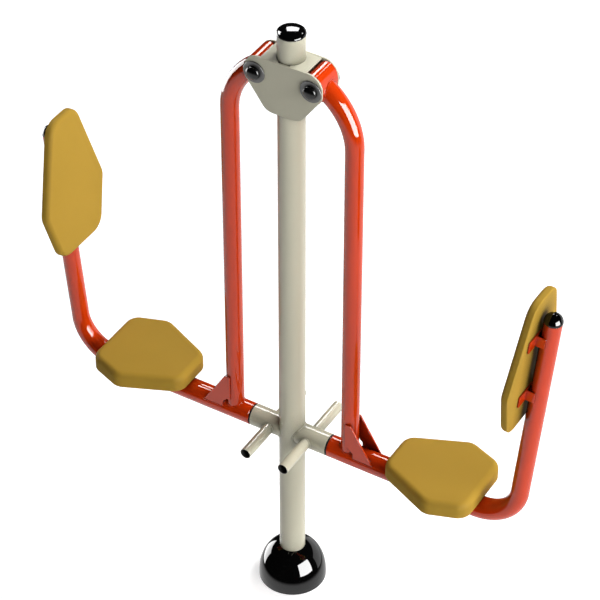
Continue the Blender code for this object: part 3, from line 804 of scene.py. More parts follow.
@dataclass
class TubeMaker:
    """Makes hollow tubes with soft rims or with ends that are coped to another tube."""

    steps: int = TURN_STEPS
    rim: float = 0.0006
    rim_steps: int = 3

    @property
    def turn(self) -> np.ndarray:
        """The angles round a tube."""
        return np.linspace(0, FULL_TURN, self.steps, endpoint=False)

    def tube(self, line: Line, wall: float, start: Test | None = None, finish: Test | None = None,
             stations: Sequence[float] = ()) -> Skin:
        """Builds a tube along a line.

        Args:
            line: The middle line and radius.
            wall: The thickness of the wall.
            start: The surface that the first end is coped to, or none for a square end.
            finish: The surface that the last end is coped to, or none for a square end.
            stations: Distances along the line for rings between the ends.

        Returns:
            The tube's skin.
        """
        turn = self.turn
        skin = Skin()
        ends = []
        for inset in (0.0, wall):
            first = self._end(line, start, 0.0, turn, inset)
            last = self._end(line, finish, line.length, turn, inset)
            ends.append((first, last))
        margin = self.rim * 2
        low = max(np.max(first) for first, _ in ends) + margin
        high = min(np.min(last) for _, last in ends) - margin
        inner_places = [low, *[s for s in stations if low < s < high], high]
        loops = []
        for (first, last), inset in zip(ends, (0.0, wall)):
            rows = [line.skin(first, turn, inset)] if start else []
            rows += [line.skin(np.full(turn.shape, s), turn, inset) for s in inner_places]
            rows += [line.skin(last, turn, inset)] if finish else []
            loops.append(rows)
        outer, inner = loops
        last_rim = [] if finish else self._rim(line, line.length, -1, wall, turn)
        first_rim = [] if start else self._rim(line, 0.0, 1, wall, turn)
        rows = [*outer, *last_rim, *inner[::-1], *first_rim[::-1]]
        skin.grid(np.array(rows), close=True)
        return skin

    @staticmethod
    def _end(line: Line, surface: Test | None, place: float, turn: np.ndarray,
             inset: float) -> np.ndarray:
        """Where an end of a tube lies.

        Args:
            line: The tube's middle line.
            surface: The surface that the end is coped to, or none.
            place: The end's distance along the line.
            turn: Angles round the tube.
            inset: How far under the outer skin.

        Returns:
            The distance along the line at each angle.
        """
        if surface is None:
            return np.full(turn.shape, place)
        return line.meeting(surface, place, line.length / 2, turn, inset)

    def _rim(self, line: Line, place: float, inward: int, wall: float,
             turn: np.ndarray) -> list[np.ndarray]:
        """The rounded edge of a square end.

        Args:
            line: The tube's middle line.
            place: The end's distance along the line.
            inward: The sign of the way along the line into the tube.
            wall: The thickness of the wall.
            turn: Angles round the tube.

        Returns:
            Rings of points, from the outer side to the bore.
        """
        rows = []
        for side in (0, 1):
            for step in range(self.rim_steps + 1):
                angle = math.pi / 2 * step / self.rim_steps
                if side:
                    angle = math.pi / 2 - angle
                depth = self.rim * (1 - math.sin(angle))
                edge = self.rim * (1 - math.cos(angle))
                inset = wall - edge if side else edge
                spot = np.full(turn.shape, place + inward * depth)
                rows.append(line.skin(spot, turn, inset))
        return rows


@dataclass
class WeldMaker:
    """Makes slim rippled weld beads along the seams between painted steel pieces."""

    radius: float = 0.0026
    pitch: float = 0.0036
    ripple_share: float = 0.10
    fewest_ripples: int = 3
    samples_per_ripple: int = 4
    sides: int = 10
    end_taper: float = 3.0

    def bead(self, skin: Skin, seam: np.ndarray, closed: bool = True, scale: float = 1.0) -> None:
        """Adds a bead along a seam.

        Args:
            skin: The piece that the bead joins.
            seam: Points along the seam.
            closed: Whether the seam is a loop.
            scale: How thick the bead is against the usual one.
        """
        points = np.vstack((seam, seam[:1])) if closed else np.array(seam)
        along = distances(points)
        ripples = max(self.fewest_ripples, round(along[-1] / self.pitch))
        count = ripples * self.samples_per_ripple
        path = between(points, along, np.linspace(0, along[-1], count + 1))
        if closed:
            path = path[:-1]
            tangents = np.roll(path, -1, axis=0) - np.roll(path, 1, axis=0)
        else:
            tangents = np.gradient(path, axis=0)
        tangents = unit(tangents)
        out = path - path.mean(axis=0) if closed else self._helper(tangents[0])[None]
        out = unit(out - (out * tangents).sum(1, keepdims=True) * tangents)
        other = np.cross(tangents, out)
        turn = np.linspace(0, FULL_TURN, self.sides, endpoint=False)
        phase = np.arange(len(path)) / self.samples_per_ripple * FULL_TURN
        swell = self.radius * scale * (1 + self.ripple_share * np.sin(phase))
        if not closed:
            swell[[0, -1]] = self.radius * scale / self.end_taper
        ring = np.cos(turn)[:, None] * out[:, None] + np.sin(turn)[:, None] * other[:, None]
        rows = path[:, None] + swell[:, None, None] * ring
        skin.grid(rows, close=closed)
        if not closed:
            skin.fan(rows[0], path[0])
            skin.fan(rows[-1], path[-1])

    @staticmethod
    def _helper(tangent: np.ndarray) -> np.ndarray:
        """A direction that is well away from a tangent."""
        return Z_AXIS if abs(tangent[2]) < STEEP_SHARE else X_AXIS


def placed(origin: np.ndarray, x_direction: np.ndarray, z_direction: np.ndarray) -> Matrix:
    """A matrix whose X and Z axes point along two directions.

    Args:
        origin: Where it puts the origin.
        x_direction: The direction of its X axis.
        z_direction: The direction of its Z axis, square to the first.

    Returns:
        The matrix.
    """
    z = Vector(z_direction).normalized()
    x = Vector(x_direction).normalized()
    turn = Matrix((x, z.cross(x), z)).transposed()
    return Matrix.Translation(Vector(origin)) @ turn.to_4x4()


def standing(origin: np.ndarray, z_direction: np.ndarray) -> Matrix:
    """A matrix at origin whose Z axis points along a direction."""
    helper = X_AXIS if abs(z_direction[0]) < STEEP_SHARE else Y_AXIS
    return placed(origin, np.cross(helper, z_direction), z_direction)


def fillet(corner: PlanePoint, before: PlanePoint, after: PlanePoint, radius: float,
           steps: int) -> list[PlanePoint]:
    """Rounds one corner of an outline.

    Args:
        corner: The sharp corner.
        before: The corner before it.
        after: The corner after it.
        radius: The radius of the round.
        steps: How many steps the round has.

    Returns:
        The points of the round.
    """
    here = Vector(corner)
    inward = (here - Vector(before)).normalized()
    outward = (Vector(after) - here).normalized()
    turn = -inward.angle_signed(outward)
    reach = radius * abs(math.tan(turn / 2))
    normal = Vector((inward.y, -inward.x)) * (1 if turn > 0 else -1)
    centre = here - inward * reach - normal * radius
    return [
        tuple(centre + Matrix.Rotation(turn * step / steps, 2) @ normal * radius)
        for step in range(steps + 1)
    ]


def rounded(corners: Sequence[tuple[float, float, float]], steps: int = 12) -> np.ndarray:
    """Points round an outline with rounded corners.

    Args:
        corners: Each corner as (x, y, radius), anticlockwise.
        steps: How many steps each round has.

    Returns:
        The points.
    """
    points: list[PlanePoint] = []
    for index, (x, y, radius) in enumerate(corners):
        before = corners[index - 1][:2]
        after = corners[(index + 1) % len(corners)][:2]
        if radius > 0:
            points += fillet((x, y), before, after, radius, steps)
        else:
            points.append((x, y))
    return np.array(points)


def rectangle(half_width: float, half_height: float,
              radius: float) -> list[tuple[float, float, float]]:
    """The corners of a rectangle about the middle, ready to be rounded.

    Args:
        half_width: Half its size along X.
        half_height: Half its size along Y.
        radius: The radius of each corner.

    Returns:
        Each corner as (x, y, radius).
    """
    return [
        (-half_width, -half_height, radius),
        (half_width, -half_height, radius),
        (half_width, half_height, radius),
        (-half_width, half_height, radius),
    ]


def sided(outline: np.ndarray, side: Side) -> np.ndarray:
    """An outline that is drawn for the right side, turned over when it is for the left one."""
    turned = outline * (side.value, 1)
    return turned[::-1] if side is Side.LEFT else turned


def circle(x: float, y: float, radius: float, steps: int = 64) -> np.ndarray:
    """Points round a circle in a plane."""
    turn = np.linspace(0, FULL_TURN, steps, endpoint=False)
    return np.stack((x + radius * np.cos(turn), y + radius * np.sin(turn)), 1)


def oval(half_width: float, half_height: float, steps: int = 128) -> np.ndarray:
    """Points round an oval in a plane."""
    return circle(0.0, 0.0, 1.0, steps) * (half_width, half_height)


@dataclass
class PlateMaker:
    """Makes cut steel plates with softened edges."""

    edge: float = 0.0007
    edge_steps: int = 2

    def plate(self, name: str, outline: np.ndarray, holes: Sequence[np.ndarray], thickness: float,
              place: Matrix) -> Mesh:
        """Builds a plate about its middle plane.

        Args:
            name: The mesh's name.
            outline: Points round it, in its own plane.
            holes: Points round each hole.
            thickness: The plate's thickness.
            place: Where it stands.

        Returns:
            The mesh in the object's own frame.
        """
        curve = bpy.data.curves.new(name, "CURVE")
        curve.dimensions = "2D"
        curve.fill_mode = "BOTH"
        curve.extrude = thickness / 2 - self.edge
        curve.bevel_depth = self.edge
        curve.bevel_resolution = self.edge_steps
        curve.offset = -self.edge
        for loop in (outline, *holes):
            spline = curve.splines.new("POLY")
            spline.points.add(len(loop) - 1)
            for point, (x, y) in zip(spline.points, loop):
                point.co = (x, y, 0, 1)
            spline.use_cyclic_u = True
        mesh = settled(curve)
        mesh.transform(place)
        return mesh


def settled(data: bpy.types.ID, tools: Sequence[Mesh] = ()) -> Mesh:
    """The final mesh of a curve, or of a mesh after tools have cut it.

    Args:
        data: A curve or a mesh, which is used up.
        tools: Closed meshes that cut it.

    Returns:
        A new mesh.
    """
    holder = bpy.data.objects.new(data.name, data)
    bpy.context.scene.collection.objects.link(holder)
    helpers = []
    for tool in tools:
        helper = bpy.data.objects.new(tool.name, tool)
        bpy.context.scene.collection.objects.link(helper)
        helpers.append(helper)
        cut = holder.modifiers.new("cut", "BOOLEAN")
        cut.operation = "DIFFERENCE"
        cut.solver = "EXACT"
        cut.object = helper
    bpy.context.view_layer.update()
    evaluated = holder.evaluated_get(bpy.context.evaluated_depsgraph_get())
    mesh = bpy.data.meshes.new_from_object(evaluated)
    for item in (holder, *helpers):
        bpy.data.objects.remove(item, do_unlink=True)
    with edited(mesh) as work:
        bmesh.ops.remove_doubles(work, verts=work.verts, dist=WELD_GAP)
        bmesh.ops.recalc_face_normals(work, faces=work.faces)
    return mesh


def crease(mesh: Mesh) -> None:
    """Keeps a cut plate's wide faces flat beside its narrow softened edges.

    Args:
        mesh: The plate, shaded smooth.
    """
    with edited(mesh) as work:
        for edge in work.edges:
            if len(edge.link_faces) != 2 or edge.calc_face_angle() < FLAT_ANGLE:
                continue
            small, large = sorted(face.calc_area() for face in edge.link_faces)
            if large > small * WIDE_SHARE:
                edge.smooth = False


def joined(name: str, meshes: Sequence[Mesh]) -> Mesh:
    """One mesh that holds several.

    Args:
        name: The new mesh's name.
        meshes: The meshes.

    Returns:
        The new mesh.
    """
    work = bmesh.new()
    for mesh in meshes:
        work.from_mesh(mesh)
    made = bpy.data.meshes.new(name)
    work.to_mesh(made)
    work.free()
    return made


class Workshop:
    """Puts finished meshes into the scene, dresses them and ties them to their bodies."""

    def __init__(self) -> None:
        """Makes the materials."""
        effects = Effects()
        self.materials = {finish.label: finish.material(effects) for finish in FINISHES}
        self.tubes = TubeMaker()
        self.welds = WeldMaker()
        self.plates = PlateMaker()

    def add(self, name: str, shape: Skin | Mesh, finish: Finish,
            stands_for: Sequence[str] = (), body: str = "frame") -> bpy.types.Object:
        """Adds one piece.

        Args:
            name: The piece's name.
            shape: Its skin or mesh, in the object's own frame.
            finish: Its surface finish.
            stands_for: The frame's nodes that it is shown instead of.
            body: The body that it moves with.

        Returns:
            The new object.
        """
        mesh = shape.mesh(name) if isinstance(shape, Skin) else shape
        mesh.name = name
        mesh.shade_smooth()
        mesh.set_sharp_from_angle(angle=SHARP_ANGLE)
        if not isinstance(shape, Skin):
            crease(mesh)
        mesh.materials.clear()
        mesh.materials.append(self.materials[finish.label])
        piece = bpy.data.objects.new(name, mesh)
        bpy.context.scene.collection.objects.link(piece)
        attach(piece, body)
        if stands_for:
            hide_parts(*stands_for)
        LOG.info("%s: %d faces, on %s", name, len(mesh.polygons), body)
        return piece

    def weld(self, skin: Skin, line: Line, surface: Test, inside: float, outside: float) -> None:
        """Adds a bead where a coped tube meets its surface.

        Args:
            skin: The piece that the bead joins.
            line: The tube's middle line.
            surface: The surface that the tube is coped to.
            inside: A distance along the line that is inside the surface.
            outside: A distance along the line that is outside it.
        """
        turn = self.tubes.turn
        self.welds.bead(skin, line.skin(line.meeting(surface, inside, outside, turn), turn))

    def dress(self, node: str, finish: Finish) -> None:
        """Gives a carried-over node its material.

        Args:
            node: The node.
            finish: Its surface finish.
        """
        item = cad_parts[node]
        item.data.materials.clear()
        item.data.materials.append(self.materials[finish.label])
        LOG.info("%s: dressed as %s", node, finish.label)

    def darken_bore(self, piece: bpy.types.Object, start: np.ndarray, axis: np.ndarray,
                  radius: float) -> None:
        """Leaves a tube's bore bare, inside a radius about its axis.

        Args:
            piece: The tube.
            start: A point on its axis.
            axis: The direction of its axis.
            radius: The radius within which its faces get the near-black bore finish.
        """
        inside = cylinder_test(start, axis, radius)
        piece.data.materials.append(self.materials[BARE_SHADED_BORE.label])
        for face in piece.data.polygons:
            if inside(np.array(face.center)) < 0:
                face.material_index = 1


@dataclass
class Dome:
    """A domed cap in section: a soft dome on a short rim, with a hollow spigot below."""

    radius: float
    rise: float
    rim: float
    spigot_radius: float
    spigot_length: float
    wall: float = 0.003
    dome_steps: int = 28
    edge: float = 0.0008
    fullness: float = 2.0

    def profile(self) -> list[PlanePoint]:
        """Draws the cap's section.

        Returns:
            Its points from the crown down the outside and back up inside the spigot.
        """
        points = [(0.0, self.rise)]
        for step in range(1, self.dome_steps + 1):
            angle = math.pi / 2 * step / self.dome_steps
            out = math.sin(angle) ** (2 / self.fullness)
            up = max(math.cos(angle), 0.0) ** (2 / self.fullness)
            points.append((self.radius * out, self.rim + (self.rise - self.rim) * up))
        inner = self.spigot_radius - self.wall
        return points + [
            (self.radius, self.edge),
            (self.radius - self.edge, 0.0),
            (self.spigot_radius, 0.0),
            (self.spigot_radius, -self.spigot_length),
            (inner, -self.spigot_length),
            (inner, 0.0),
            (0.0, 0.0),
        ]


@dataclass
class Post:
    """The post, its cap, the domed cover at its foot, and the flange and anchors under that."""

    workshop: Workshop
    anchors: int = 4
    stations: int = 24
    wall: float = 0.004
    cap_rim: float = 0.002
    cap_spigot: float = 0.030
    cap_fullness: float = 2.3
    cover_wall: float = 0.003
    cover_lip: float = 0.0016
    cover_clearance: float = 0.0006
    cover_fullness: float = 2.3
    cover_steps: int = 48
    turn_steps: int = 160

    def build(self) -> None:
        """Builds every piece of the post."""
        self._tube()
        self._cap()
        self._cover()
        self.workshop.dress("base_flange", ZINC_STEEL)
        for index in range(self.anchors):
            self.workshop.dress(f"anchor_bolt_{index + 1}", ZINC_STEEL)

    def _tube(self) -> None:
        """The post tube."""
        low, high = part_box("post")
        radius = (high.x - low.x) / 2
        line = Line(np.array(((0, 0, low.z), (0, 0, high.z))), Y_AXIS, radius)
        stations = np.linspace(0, line.length, self.stations)
        tube = self.workshop.tubes.tube(line, self.wall, stations=stations)
        self.workshop.add("post_tube", tube, CREAM_PAINT, ["post"])

    def _cap(self) -> None:
        """The domed cap in the post's top."""
        low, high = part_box("post_cap")
        _, post_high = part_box("post")
        base = low.z + self.cap_spigot
        dome = Dome(
            radius=(high.x - low.x) / 2,
            rise=high.z - base,
            rim=self.cap_rim,
            spigot_radius=post_high.x - self.wall - SPIGOT_CLEARANCE,
            spigot_length=self.cap_spigot,
            fullness=self.cap_fullness,
        )
        place = Matrix.Translation((0, 0, base))
        skin = Skin().turned(dome.profile(), place, self.turn_steps)
        self.workshop.add("post_cap_dome", skin, BLACK_PLASTIC, ["post_cap"])

    def _cover(self) -> None:
        """The domed ground cover: a full-shouldered dome with a softened foot."""
        low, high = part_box("base_cover")
        _, post_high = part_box("post")
        radius = (high.x - low.x) / 2
        height = high.z
        opening = post_high.x + self.cover_clearance
        outside = self._bell(radius, height, opening)
        inside = self._bell(radius - self.cover_wall, height - self.cover_wall, opening)
        lip = self.cover_lip
        foot = [(radius, lip), (radius - lip, 0.0), (radius - self.cover_wall + lip / 2, 0.0)]
        profile = [*outside[:-1], *foot, *inside[::-1]]
        skin = Skin().turned(profile, Matrix(), self.turn_steps, closed=True)
        self.workshop.add("ground_cover", skin, BLACK_PLASTIC, ["base_cover"])

    def _bell(self, radius: float, height: float, opening: float) -> list[PlanePoint]:
        """Draws a quarter of a full-shouldered oval.

        Args:
            radius: Its radius on the ground.
            height: Its height at the opening.
            opening: The opening's radius.

        Returns:
            Its points from the opening down to the ground.
        """
        power = 2 / self.cover_fullness
        first = math.acos((opening / radius) ** (1 / power))
        full_height = height / math.sin(first) ** power
        angles = [first * (1 - step / self.cover_steps) for step in range(self.cover_steps + 1)]
        return [
            (radius * math.cos(a) ** power, full_height * math.sin(a) ** power) for a in angles
        ]


@dataclass
class Crossbar:
    """The crossbar stubs through the post, their rubber buffers and the four foot pegs."""

    workshop: Workshop
    diameter: float = 0.0761
    wall: float = 0.0032
    peg_diameter: float = 0.038
    peg_wall: float = 0.0026
    buffer_diameter: float = 0.072
    buffer_thickness: float = 0.006
    buffer_edge: float = 0.0016
    buffer_edge_steps: int = 6

    def build(self) -> None:
        """Builds both stubs with what they carry."""
        self.height = float(box_centre("crossbar_left")[2])
        for side in Side:
            self._stub(side)
            self._buffer(side)
            for end in End:
                self._peg(side, end)

    def _coped(self, names: tuple[str, str], line: Line, wall: float, surface: Test,
               node: str) -> bpy.types.Object:
        """Adds a tube that is coped to a surface, and its weld.

        Args:
            names: The names of the tube's piece and the weld's piece.
            line: The tube's middle line, from inside the surface outwards.
            wall: The thickness of its wall.
            surface: The surface that it is coped to.
            node: The node that the tube is shown instead of.

        Returns:
            The tube's object.
        """
        tube = self.workshop.tubes.tube(line, wall, start=surface)
        piece = self.workshop.add(names[0], tube, CREAM_PAINT, [node])
        weld = Skin()
        self.workshop.weld(weld, line, surface, 0.0, line.length)
        self.workshop.add(names[1], weld, CREAM_PAINT)
        return piece

    def _stub(self, side: Side) -> None:
        """One stub, coped to the post, and its weld.

        Args:
            side: The side that it is on.
        """
        node = f"crossbar_{side.label}"
        _, far = reaches(node, 0)
        middle = np.array((0, 0, self.height))
        end = np.array((side.value * far, 0, self.height))
        line = Line(np.array((middle, end)), Y_AXIS, self.diameter / 2)
        post = cylinder_test(middle, Z_AXIS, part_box("post")[1].x + GAP)
        names = (f"crossbar_stub_{side.label}", f"crossbar_weld_{side.label}")
        self._coped(names, line, self.wall, post, node)

    def _buffer(self, side: Side) -> None:
        """One rubber buffer in the end of a stub.

        Args:
            side: The side that it is on.
        """
        node = f"stop_buffer_{side.label}"
        near, far = reaches(node, 0)
        back = far - self.buffer_thickness
        spigot = self.diameter / 2 - self.wall - SPIGOT_CLEARANCE
        edge = self.buffer_edge
        radius = self.buffer_diameter / 2
        flat = radius - edge
        shoulder = self.buffer_thickness - edge
        profile = [(0.0, self.buffer_thickness)]
        for step in range(self.buffer_edge_steps + 1):
            angle = math.pi / 2 * step / self.buffer_edge_steps
            profile.append((flat + edge * math.sin(angle), shoulder + edge * math.cos(angle)))
        profile += [
            (radius, edge / 2),
            (radius - edge / 2, 0.0),
            (spigot, 0.0),
            (spigot, near - back),
            (0.0, near - back),
        ]
        outward = X_AXIS * side.value
        skin = Skin().turned(profile, standing(outward * back + Z_AXIS * self.height, outward))
        self.workshop.add(f"rubber_buffer_{side.label}", skin, RUBBER, [node])

    def _peg(self, side: Side, end: End) -> None:
        """One foot peg with a bare bore darkened by painted shade, coped to the stub, and its weld.

        Args:
            side: The side that it is on.
            end: The end that it points to.
        """
        node = f"foot_peg_{end.label}_{side.label}"
        _, far = reaches(node, 1)
        start = np.array((box_centre(node)[0], 0, self.height))
        tip = start + Y_AXIS * end.value * far
        line = Line(np.array((start, tip)), Z_AXIS, self.peg_diameter / 2)
        stub = cylinder_test(start, X_AXIS, self.diameter / 2 + GAP)
        names = (f"peg_{end.label}_{side.label}", f"peg_weld_{end.label}_{side.label}")
        piece = self._coped(names, line, self.peg_wall, stub, node)
        bore = (self.peg_diameter - self.peg_wall) / 2
        # The bore gets a near-black finish: bare steel with painted shade.
        self.workshop.darken_bore(piece, start, Y_AXIS, bore)


@dataclass
class Head:
    """The two head plates, the deck between them, and the axles' washers and cap nuts."""

    workshop: Workshop
    plate_thickness: float = 0.006
    top_rise: float = 0.059
    shoulder_drop: float = 0.022
    foot_drop: float = 0.132
    half_width: float = 0.137
    foot_half_width: float = 0.059
    top_fillet: float = 0.052
    shoulder_fillet: float = 0.026
    foot_fillet: float = 0.042
    deck_thickness: float = 0.005
    deck_margin: float = 0.005
    deck_steps: int = 36
    washer_edge: float = 0.0007
    cap_skirt: float = 0.006
    cap_bore_depth: float = 0.009
    weld_angle: float = math.radians(22)

    def build(self) -> None:
        """Builds the head."""
        self.hub_height = float(box_centre("left_hub")[2])
        self.post_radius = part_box("post")[1].x
        for end in End:
            self._plate(end)
        for side in Side:
            self._deck(side)
            self.workshop.dress(f"axle_{side.label}", ZINC_STEEL)
            for end in End:
                self._axle_end(side, end)
        self._welds()

    def _plate(self, end: End) -> None:
        """One head plate with its two axle holes.

        Args:
            end: The end that it is on.
        """
        node = f"head_plate_{end.label}"
        middle = box_centre(node)
        corners = [
            (-self.foot_half_width, -self.foot_drop, self.foot_fillet),
            (self.foot_half_width, -self.foot_drop, self.foot_fillet),
            (self.half_width, -self.shoulder_drop, self.shoulder_fillet),
            (self.half_width, self.top_rise, self.top_fillet),
            (-self.half_width, self.top_rise, self.top_fillet),
            (-self.half_width, -self.shoulder_drop, self.shoulder_fillet),
        ]
        hub = abs(box_centre("left_hub")[0])
        holes = [circle(side.value * hub, 0, AXLE_RADIUS + GAP) for side in Side]
        place = placed(np.array((0, middle[1], self.hub_height)), X_AXIS, -Y_AXIS)
        mesh = self.workshop.plates.plate(
            f"plate_{end.label}", rounded(corners), holes, self.plate_thickness, place
        )
        self.workshop.add(f"plate_{end.label}", mesh, MATT_CREAM, [node])

    def _deck(self, side: Side) -> None:
        """Half of the deck, hollowed to go round the post.

        Args:
            side: The side that it is on.
        """
        node = f"head_deck_{side.label}"
        low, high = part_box(node)
        _, far = reaches(node, 0)
        half = high.y
        post = self.post_radius + GAP
        first = math.asin((half - self.deck_margin) / post)
        edge = post * math.cos(first)
        points = [(edge, -half), (far, -half), (far, half), (edge, half)]
        for step in range(self.deck_steps + 1):
            angle = first - 2 * first * step / self.deck_steps
            points.append((post * math.cos(angle), post * math.sin(angle)))
        outline = sided(np.array(points), side)
        place = Matrix.Translation((0, 0, (low.z + high.z) / 2))
        name = f"deck_{side.label}"
        mesh = self.workshop.plates.plate(name, outline, [], self.deck_thickness, place)
        self.workshop.add(name, mesh, MATT_CREAM, [node])

    def _axle_end(self, side: Side, end: End) -> None:
        """The washer and the domed cap nut on one end of an axle.

        Args:
            side: The side that the axle is on.
            end: The end of the axle.
        """
        outward = Y_AXIS * end.value
        node = f"axle_washer_{end.label}_{side.label}"
        middle = box_centre(node)
        size = box_size(node)
        radius = size[2] / 2
        half = size[1] / 2
        bore = AXLE_RADIUS + GAP
        edge = self.washer_edge
        profile = [
            (bore, half),
            (radius - edge, half),
            (radius, half - edge),
            (radius, -half + edge),
            (radius - edge, -half),
            (bore, -half),
        ]
        skin = Skin().turned(profile, standing(middle, outward), closed=True)
        self.workshop.add(f"washer_{end.label}_{side.label}", skin, ZINC_STEEL, [node])

        node = f"axle_cap_{end.label}_{side.label}"
        size = box_size(node)
        dome = Dome(
            radius=size[2] / 2,
            rise=size[1],
            rim=self.cap_skirt,
            spigot_radius=bore,
            spigot_length=0.0,
        )
        profile = [point for point in dome.profile() if point[1] > 0 or point[0] > bore]
        profile += [(bore, 0.0), (bore, self.cap_bore_depth), (0.0, self.cap_bore_depth)]
        skin = Skin().turned(profile, standing(middle + outward * (half + GAP), outward))
        self.workshop.add(f"cap_{end.label}_{side.label}", skin, DULL_PLASTIC, [node])

    def _welds(self) -> None:
        """The upright seams between the plates and the post."""
        skin = Skin()
        low = self.hub_height - self.foot_drop + self.plate_thickness
        high = self.hub_height + self.top_rise - self.deck_thickness
        for end in End:
            for side in Side:
                x = side.value * self.post_radius * math.sin(self.weld_angle)
                y = end.value * self.post_radius * math.cos(self.weld_angle)
                seam = np.array(((x, y, low), (x, y, high)))
                self.workshop.welds.bead(skin, seam, closed=False)
        self.workshop.add("plate_welds", skin, CREAM_PAINT)


@dataclass(frozen=True)
class Pad:
    """A moulded pad: six-cornered in plan, softly rounded round its face and slightly crowned."""

    length: float
    width: float
    wide_end: float
    narrow_end: float
    widest: float
    corner: float
    thickness: float
    face_round: float
    reverse_round: float
    draw_in: float = 0.004
    crown: float = 0.003
    fullness: float = 2.1
    round_steps: int = 14
    crown_steps: int = 18
    corner_steps: int = 22
    outline_steps: int = 220

    def _outline(self) -> np.ndarray:
        """Draws the pad's outline.

        Returns:
            Points round it, from its narrow end at x zero, spaced evenly.
        """
        radius = self.corner
        corners = [
            (0.0, -self.narrow_end / 2, radius),
            (self.widest, -self.width / 2, radius),
            (self.length, -self.wide_end / 2, radius),
            (self.length, self.wide_end / 2, radius),
            (self.widest, self.width / 2, radius),
            (0.0, self.narrow_end / 2, radius),
        ]
        points = rounded(corners, self.corner_steps)
        loop = np.vstack((points, points[:1]))
        along = distances(loop)
        places = np.linspace(0, along[-1], self.outline_steps, endpoint=False)
        return between(loop, along, places)

    @staticmethod
    def _normals(outline: np.ndarray) -> np.ndarray:
        """The outward direction at each point of an outline."""
        tangent = unit(np.roll(outline, -1, axis=0) - np.roll(outline, 1, axis=0))
        return np.stack((tangent[:, 1], -tangent[:, 0]), 1)

    def mesh(self, name: str, place: Matrix) -> Mesh:
        """Builds the pad.

        Args:
            name: The mesh's name.
            place: Its narrow end's middle on its base, with Z towards its face.

        Returns:
            The mesh in the object's own frame.
        """
        outline = self._outline()
        normals = self._normals(outline)
        face_round = self.face_round
        wall_top = self.thickness - self.crown - face_round
        rows = []
        for step in range(self.round_steps + 1):
            angle = math.pi / 2 * (1 - step / self.round_steps)
            inset = self.draw_in * (1 - step / self.round_steps)
            inset += self.reverse_round * (1 - math.cos(angle))
            height = self.reverse_round * (1 - math.sin(angle))
            rows.append(self._ring(outline - normals * inset, height))
        for step in range(1, self.round_steps + 1):
            angle = math.pi / 2 * step / self.round_steps
            inset = face_round * (1 - math.cos(angle) ** (2 / self.fullness))
            height = wall_top + face_round * math.sin(angle) ** (2 / self.fullness)
            rows.append(self._ring(outline - normals * inset, height))
        edge = outline - normals * face_round
        middle = edge.mean(axis=0)
        for step in range(1, self.crown_steps):
            share = step / self.crown_steps
            ring = middle + (edge - middle) * (1 - share)
            rise = self.crown * (1 - (1 - share) ** 2)
            rows.append(self._ring(ring, self.thickness - self.crown + rise))
        skin = Skin()
        skin.grid(np.array(rows))
        skin.fan(rows[-1], np.array((*middle, self.thickness)))
        skin.fan(rows[0][::-1], np.array((*outline.mean(axis=0), 0.0)))
        made = skin.mesh(name)
        made.transform(place)
        return made

    @staticmethod
    def _ring(points: np.ndarray, height: float) -> np.ndarray:
        """A ring of points at one height."""
        return np.column_stack((points, np.full(len(points), height)))


SEAT_PAD = Pad(
    length=0.334,
    width=0.338,
    wide_end=0.244,
    narrow_end=0.158,
    widest=0.204,
    corner=0.052,
    thickness=0.064,
    face_round=0.024,
    reverse_round=0.005,
)
BACK_PAD = Pad(
    length=0.514,
    width=0.330,
    wide_end=0.226,
    narrow_end=0.142,
    widest=0.318,
    corner=0.062,
    thickness=0.032,
    face_round=0.016,
    reverse_round=0.0025,
)


